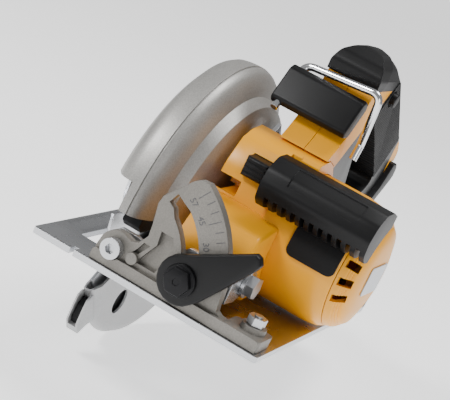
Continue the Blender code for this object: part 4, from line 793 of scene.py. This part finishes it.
gm = prism([gp(2.3, -60), gp(-3.2, -3), gp(-3.2, 12), gp(62.0, 12), gp(75.6, 0.4), gp(75.6, -60)], "XZ", HY0 - 5, HY1 + 5)
body = prism([hout + rim, hin], "XZ", HY0 - 0.6, HY1 + 0.6)
body = soften(body, 9.4, 3, lambda m, e: (m.y < HY0 or m.y > HY1))
body = boole(body, crown(-1.0), "INTERSECT")
grip = boole(body, gm, "INTERSECT")
grip = cut(grip, prism([gp(-30, -28.5), gp(-30, -3.4), gp(130, -3.4), gp(130, -28.5)], "XZ", HY0 + 3.0, HY1 - 3.0))
grip = cut(grip, prism([gp(3.5, -10), gp(3.5, 10), gp(38, 10), gp(38, -10)], "XZ", 12.3, 29.3))
grip = cut(grip, rod(5.4, "Y", LOCK, 20, 50, 16))
grip = cut(grip, prism(CAPL, "XZ", -10, 50))
part("grip_overmould", grip, "black_rubber", "axis_depth", 40)

cp = [(24.6, 138.9), (25.2, 147), (21.0, 153.0), (11.5, 158.8), (1, 160.4), (-4.4, 159.4), (14.3, 138.9)]
cap = prism(round_loop(cp, [1, 7, 9, 9, 14, 1, 1], 2), "XZ", HY0 - 1.2, HY1 + 1.2)
dome = [(HY0 - 0.9, 130), (HY0 - 0.9, 145), (HY0 + 1.6, 152.5), (HY0 + 7, 157.6), (HY, 159.6), (HY1 - 7, 157.6), (HY1 - 1.6, 152.5), (HY1 + 0.9, 145), (HY1 + 0.9, 130)]
cap = boole(cap, prism(round_loop(dome, [0, 8, 8, 9, 12, 9, 8, 8, 0], 2), "YZ", -60, 80), "INTERSECT")
part("handle_cap", cap, "black_plastic", "axis_depth", 40)

# trigger, switch, controller, lock-off
tr = [gp(4.6, -9.5), gp(4.6, 7), gp(6.5, 12.0), gp(10, 13.6), gp(17, 11.2), gp(27, 8.2), gp(34.5, 4.2), gp(36.6, 0), gp(36.6, -9.5)]
tg = soften(prism(round_loop(tr, [1, 2, 3, 3, 6, 6, 3, 2, 1], 2), "XZ", 13.2, 28.4), 1.6, 2, lambda m, e: (Vector((m.x, m.z)) - Vector((EX, EZ))).dot(gn) > 1 and (m.y < 13.3 or m.y > 28.3))
part("trigger", tg, "black_plastic", "axis_depth", 40)
part("trigger_switch", prism([gp(7, -25.4), gp(7, -16.2), gp(36, -16.2), gp(36, -25.4)], "XZ", 12.0, 28.6), "black_plastic", "axis_depth")
lk = rod(4.3, "Y", LOCK, 32.2, 40.2, 16)
part("lock_off_button", soften(lk, 0.8, 1, lambda m, e: m.y > 40.1), "black_plastic", "axis_depth")
part("controller_board", box(-42, -17, 11, 30.5, 44, 46.4), "board_green", "axis_depth")

# ================================================================ BATTERY MOUNT
FX, FZ = -101.0, 71.5                                     # top of the sloping face that the pack slides along
fd = Vector((0.759, -0.651))                              # down the face
fn = Vector((-0.651, -0.759))                             # out of the face


def fp(s, t):
    return (FX + fd.x * s + fn.x * t, FZ + fd.y * s + fn.y * t)


bt = [(-92.3, 85.0), (-99.5, 85.0), (-103.5, 81.5), (-104.3, 75.5), fp(0, 0), fp(64.0, 0), (-44.6, 28.0), (-44.5, 35.6), (-64.3, 51.6), (-84.4, 69.7)]
br = prism(round_loop(bt, [1, 3, 3, 3, 3, 3, 2, 1, 0, 0], 2), "XZ", 2.2, 40.0)
br = soften(br, 3.0, 2, lambda m, e: m.y < 2.3 or m.y > 39.9)
br = cut(br, prism([fp(10, 8), fp(40, 8), fp(40, -6), fp(10, -6)], "XZ", 6.0, 36.6))
part("battery_receptacle", br, "black_plastic", "axis_depth", 40)
tb = prism([fp(12, -5.7), fp(38, -5.7), fp(38, -3.2), fp(12, -3.2)], "XZ", 12.0, 30.0)
for y in (14.0, 18.6, 23.2, 27.8):
    tb = fuse(tb, prism([fp(15, -4), fp(35, -4), fp(35, -0.4), fp(15, -0.4)], "XZ", y - 0.5, y + 0.5))
part("battery_terminals", tb, "gear_steel", "axis_depth")

# ================================================================ HOOK BLOCK AND RAFTER HOOK
H0, H1 = Vector((50.0, -7.5, 107.5)), Vector((30.5, -7.5, 130.5))      # hook pin, foot and top

hb = [(37.5, 111.5), (39.5, 109.6), (47.5, 109.6), (49.8, 113.6), (38.6, 131.2), (34, 133.2), (29, 131.6), (26.95, 127.5)]
hk = prism(round_loop(hb, [0, 1.5, 3, 3, 4, 3, 1.5, 0], 3), "XZ", -12.6, 37.6)
hk = soften(hk, 2.4, 2, lambda m, e: m.y < -12.5 or m.y > 37.5)
hk = cut(hk, tube([tuple(H0 + (H0 - H1) * 0.3), tuple(H1 + (H1 - H0) * 0.5)], 2.7, 12))
part("hook_block", hk, "black_plastic", "axis_depth", 40)
U = (H1 - H0).normalized()
wire = fillet_path([tuple(H0), tuple(H1 + U * 5.5), (34.5, 43.6, 140.2), (28.5, 43.6, 108.0), (30.5, 43.6, 98.5)], 6.0, 4)
part("rafter_hook", tube(wire, 2.4, 10), "chrome_wire", "axis_hook", 60)

# ================================================================ SPINDLE LOCK, DEPTH CLAMP, DEFLECTOR
slb = box(62.5, 85.0, 1.6, 16.0, 71.0, 83.0)
slb = soften(slb, 2.0, 2, lambda m, e: m.x > 84.9)
for z in (73.4, 76.4, 79.4):
    slb = cut(slb, box(84.2, 90, 0, 17, z, z + 1.2))
part("spindle_lock_button", slb, "black_plastic", "axis_depth")

stud = fuse(rod(2.9, "Y", DS, -18.9, -1.0, 14), hexbar(4.8, "Y", DS, -4.3, -1.6))
part("depth_clamp_stud", stud, "zinc_steel", "axis_depth_lever")
dl = prism(round_loop([(DS[0] + 4.6, DS[1] - 3), (DS[0] + 1, DS[1] - 5.7), (DS[0] - 6, DS[1] - 4.6), (-47, 33.5), (-52, 37), (-50, 42.5), (-44, 42.6), (DS[0] - 3, DS[1] + 5.6), (DS[0] + 3.6, DS[1] + 4.6)], [2, 3, 3, 3, 3, 3, 3, 3, 2], 2), "XZ", -10.5, -4.6)
dl = soften(dl, 1.0, 1, lambda m, e: m.x < -12)
dl = cut(dl, rod(3.1, "Y", DS, -20, 0, 14))
part("depth_lever", dl, "black_plastic", "axis_depth_lever")
cd = prism(round_loop([(80, 20.5), (86, 18), (106, 18), (111.5, 22), (111, 27.1), (80, 27.1)], [2, 3, 3, 2, 0, 0], 2), "XZ", -41.2, -30.0)
part("chip_deflector", cd, "black_rubber", "axis_depth")


# ================================================================ SMALL DETAIL
def merge(items):
    out = bmesh.new()
    for b in items:
        me = bpy.data.meshes.new("m")
        b.to_mesh(me)
        out.from_mesh(me)
        bpy.data.meshes.remove(me)
        b.free()
    return out


# ruler marks on the shoe
marks = []
for k in range(-30, 56):
    x = 2.0 * k
    ln = 4.2 if k % 5 == 0 else 2.4
    marks.append(box(x - 0.16, x + 0.16, -SHOE_W / 2 + 1.2, -SHOE_W / 2 + 1.2 + ln, SHOE_T - 0.02, SHOE_T + 0.03))
    marks.append(box(x - 0.16, x + 0.16, OPEN_Y0 - 1.2 - ln * 0.8, OPEN_Y0 - 1.2, SHOE_T - 0.02, SHOE_T + 0.03))
for k in range(-14, 15):
    y = 5.0 * k
    if abs(y - BLADE_Y) < 3:
        continue
    marks.append(box(145.5, 147.1, y - 0.2, y + 0.2, SHOE_T - 0.02, SHOE_T + 0.03))
for k in range(-35, -18):
    y = 2.0 * k
    if abs(y - BLADE_Y) < 3:
        continue
    ln = 3.6 if k % 5 == 0 else 2.0
    marks.append(box(147.1 - ln, 147.1, y - 0.16, y + 0.16, SHOE_T - 0.02, SHOE_T + 0.03))
detail("shoe_ruler_marks", merge(marks), MARKS, "base")

# angle scale on the quadrant
sc = []
for k in range(0, 12):
    a = 90 - (4 + 5.0 * k) - 0.0
    ang = math.radians(a)
    r0, r1 = (57.5 if k % 3 == 0 else 60.2), 65.2
    c, s = math.cos(ang), math.sin(ang)
    if not 2 <= a <= 59:
        continue
    b = box(-0.25, 0.25, -0.22, 0.22, 0.0, 1.0)
    for v in b.verts:
        rr = r0 + (r1 - r0) * v.co.z
        w = v.co.y
        v.co = (QUAD_X1 + 0.02 + v.co.x * 0.4, T[0] + rr * c - w * s, T[1] + rr * s + w * c)
    sc.append(finish(b))
detail("quadrant_scale_marks", merge(sc), MARKS, "base")


def numeral(text, size, y, z, turn, name):
    cu = bpy.data.curves.new(name, "FONT")
    cu.body, cu.size, cu.align_x, cu.align_y, cu.extrude = text, size * MM, "CENTER", "CENTER", 0.12 * MM
    ob = bpy.data.objects.new(name, cu)
    bpy.context.scene.collection.objects.link(ob)
    graph = bpy.context.evaluated_depsgraph_get()
    me = bpy.data.meshes.new_from_object(ob.evaluated_get(graph))
    bpy.data.objects.remove(ob, do_unlink=True)
    bm = bmesh.new()
    bm.from_mesh(me)
    t = math.radians(turn)
    for v in bm.verts:
        u, w, h = v.co.x / MM, v.co.y / MM, v.co.z / MM
        v.co = (QUAD_X1 + 0.05 + h, y + u * math.cos(t) - w * math.sin(t), z + u * math.sin(t) + w * math.cos(t))
    return bm


ns = []
for txt, a in (("57", 55.5), ("45", 44.0), ("30", 29.0), ("22.5", 20.5)):
    r = 53.8
    ang = math.radians(a)
    ns.append(numeral(txt, 4.2 if "." in txt else 5.0, T[0] + r * math.cos(ang), T[1] + r * math.sin(ang), a - 90, "n" + txt))
detail("quadrant_numerals", merge(ns), MARKS, "base")

# rim along the outer edge of the arc
rim1 = prism([arc_pts(T[0], T[1], 66.9, 58, 3, 12) + arc_pts(T[0], T[1], 65.9, 3, 58, 12)], "YZ", QUAD_X1 - 0.2, QUAD_X1 + 0.5)
detail("quadrant_outer_rim", rim1, LOOK["cast_bracket"], "base")

# black rubber insert filling the mouth pocket of the lower guard: painted shade standing in for the shadowed inside of
# the pocket
detail("lower_guard_mouth_painted_shade", soften(prism([polar(MOUTH - 3.4, 92.6), polar(MOUTH - 4, 98.6), polar(MOUTH - 7.4, 104.2), polar(MOUTH - 11.0, 106.4), polar(MOUTH - 13, 99.0), polar(MOUTH - 13, 93.0)], "XZ", -49.0, -43.9), 0.4, 1), LOOK["black_rubber"], "lower_guard_unit")

# ---------------------------------------------------------------- CAD nodes that show as they are
for name, ob in frame["nodes"].items():
    if name in DONE:
        continue
    slot_name = SLOT_OF[name]
    ob.data.materials.clear()
    ob.data.materials.append(LOOK[slot_name])

# ================================================================ STAGE, LIGHT AND CAMERA
lo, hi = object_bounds()
floor_bm = bmesh.new()
bmesh.ops.create_grid(floor_bm, x_segments=2, y_segments=2, size=6.0)
fm = bpy.data.meshes.new("floor")
floor_bm.to_mesh(fm)
floor_bm.free()
floor = bpy.data.objects.new("floor", fm)
floor.location = (0, 0, lo.z - 0.0006)
bpy.context.scene.collection.objects.link(floor)
floor_mat = look("look_floor", (0.93, 0.93, 0.93), 0.8, grain=(60, 0.02, 2), mottle=0.004, edge=0.0)
floor_mat.node_tree.nodes["Principled BSDF"].inputs["Emission Color"].default_value = (1, 1, 1, 1)
floor_mat.node_tree.nodes["Principled BSDF"].inputs["Emission Strength"].default_value = 1.0
fm.materials.append(floor_mat)

world = bpy.data.worlds.new("studio")
world.use_nodes = True
world.node_tree.nodes["Background"].inputs["Color"].default_value = (1, 1, 1, 1)
world.node_tree.nodes["Background"].inputs["Strength"].default_value = WORLD_E
bpy.context.scene.world = world


def softbox(name, loc, target, size, energy):
    ld = bpy.data.lights.new(name, "AREA")
    ld.shape, ld.size, ld.energy = "DISK", size, energy
    lo_ = bpy.data.objects.new(name, ld)
    lo_.location = loc
    lo_.rotation_mode = "QUATERNION"
    lo_.rotation_quaternion = (Vector(target) - Vector(loc)).to_track_quat("-Z", "Y")
    bpy.context.scene.collection.objects.link(lo_)


for spec in LAMPS:
    softbox(*spec)

rv = np.array([0.778, 1.772, -0.996])
th = np.linalg.norm(rv)
kk = rv / th
K = np.array([[0, -kk[2], kk[1]], [kk[2], 0, -kk[0]], [-kk[1], kk[0], 0]])
Rm = np.eye(3) + math.sin(th) * K + (1 - math.cos(th)) * K @ K
tv = np.array([8.593, 40.058, 1017.264])
C = -Rm.T @ tv
cam = bpy.data.cameras.new("camera")
co = bpy.data.objects.new("camera", cam)
bpy.context.scene.collection.objects.link(co)
ri, up, bk = Rm[0], -Rm[1], -Rm[2]
co.matrix_world = Matrix(((ri[0], up[0], bk[0], C[0] / 1000), (ri[1], up[1], bk[1], C[1] / 1000), (ri[2], up[2], bk[2], C[2] / 1000), (0, 0, 0, 1)))
cam.sensor_width = 36.0
cam.lens = 1633.02 / 450 * 36
cam.clip_start, cam.clip_end = 0.01, 20.0
bpy.context.scene.camera = co
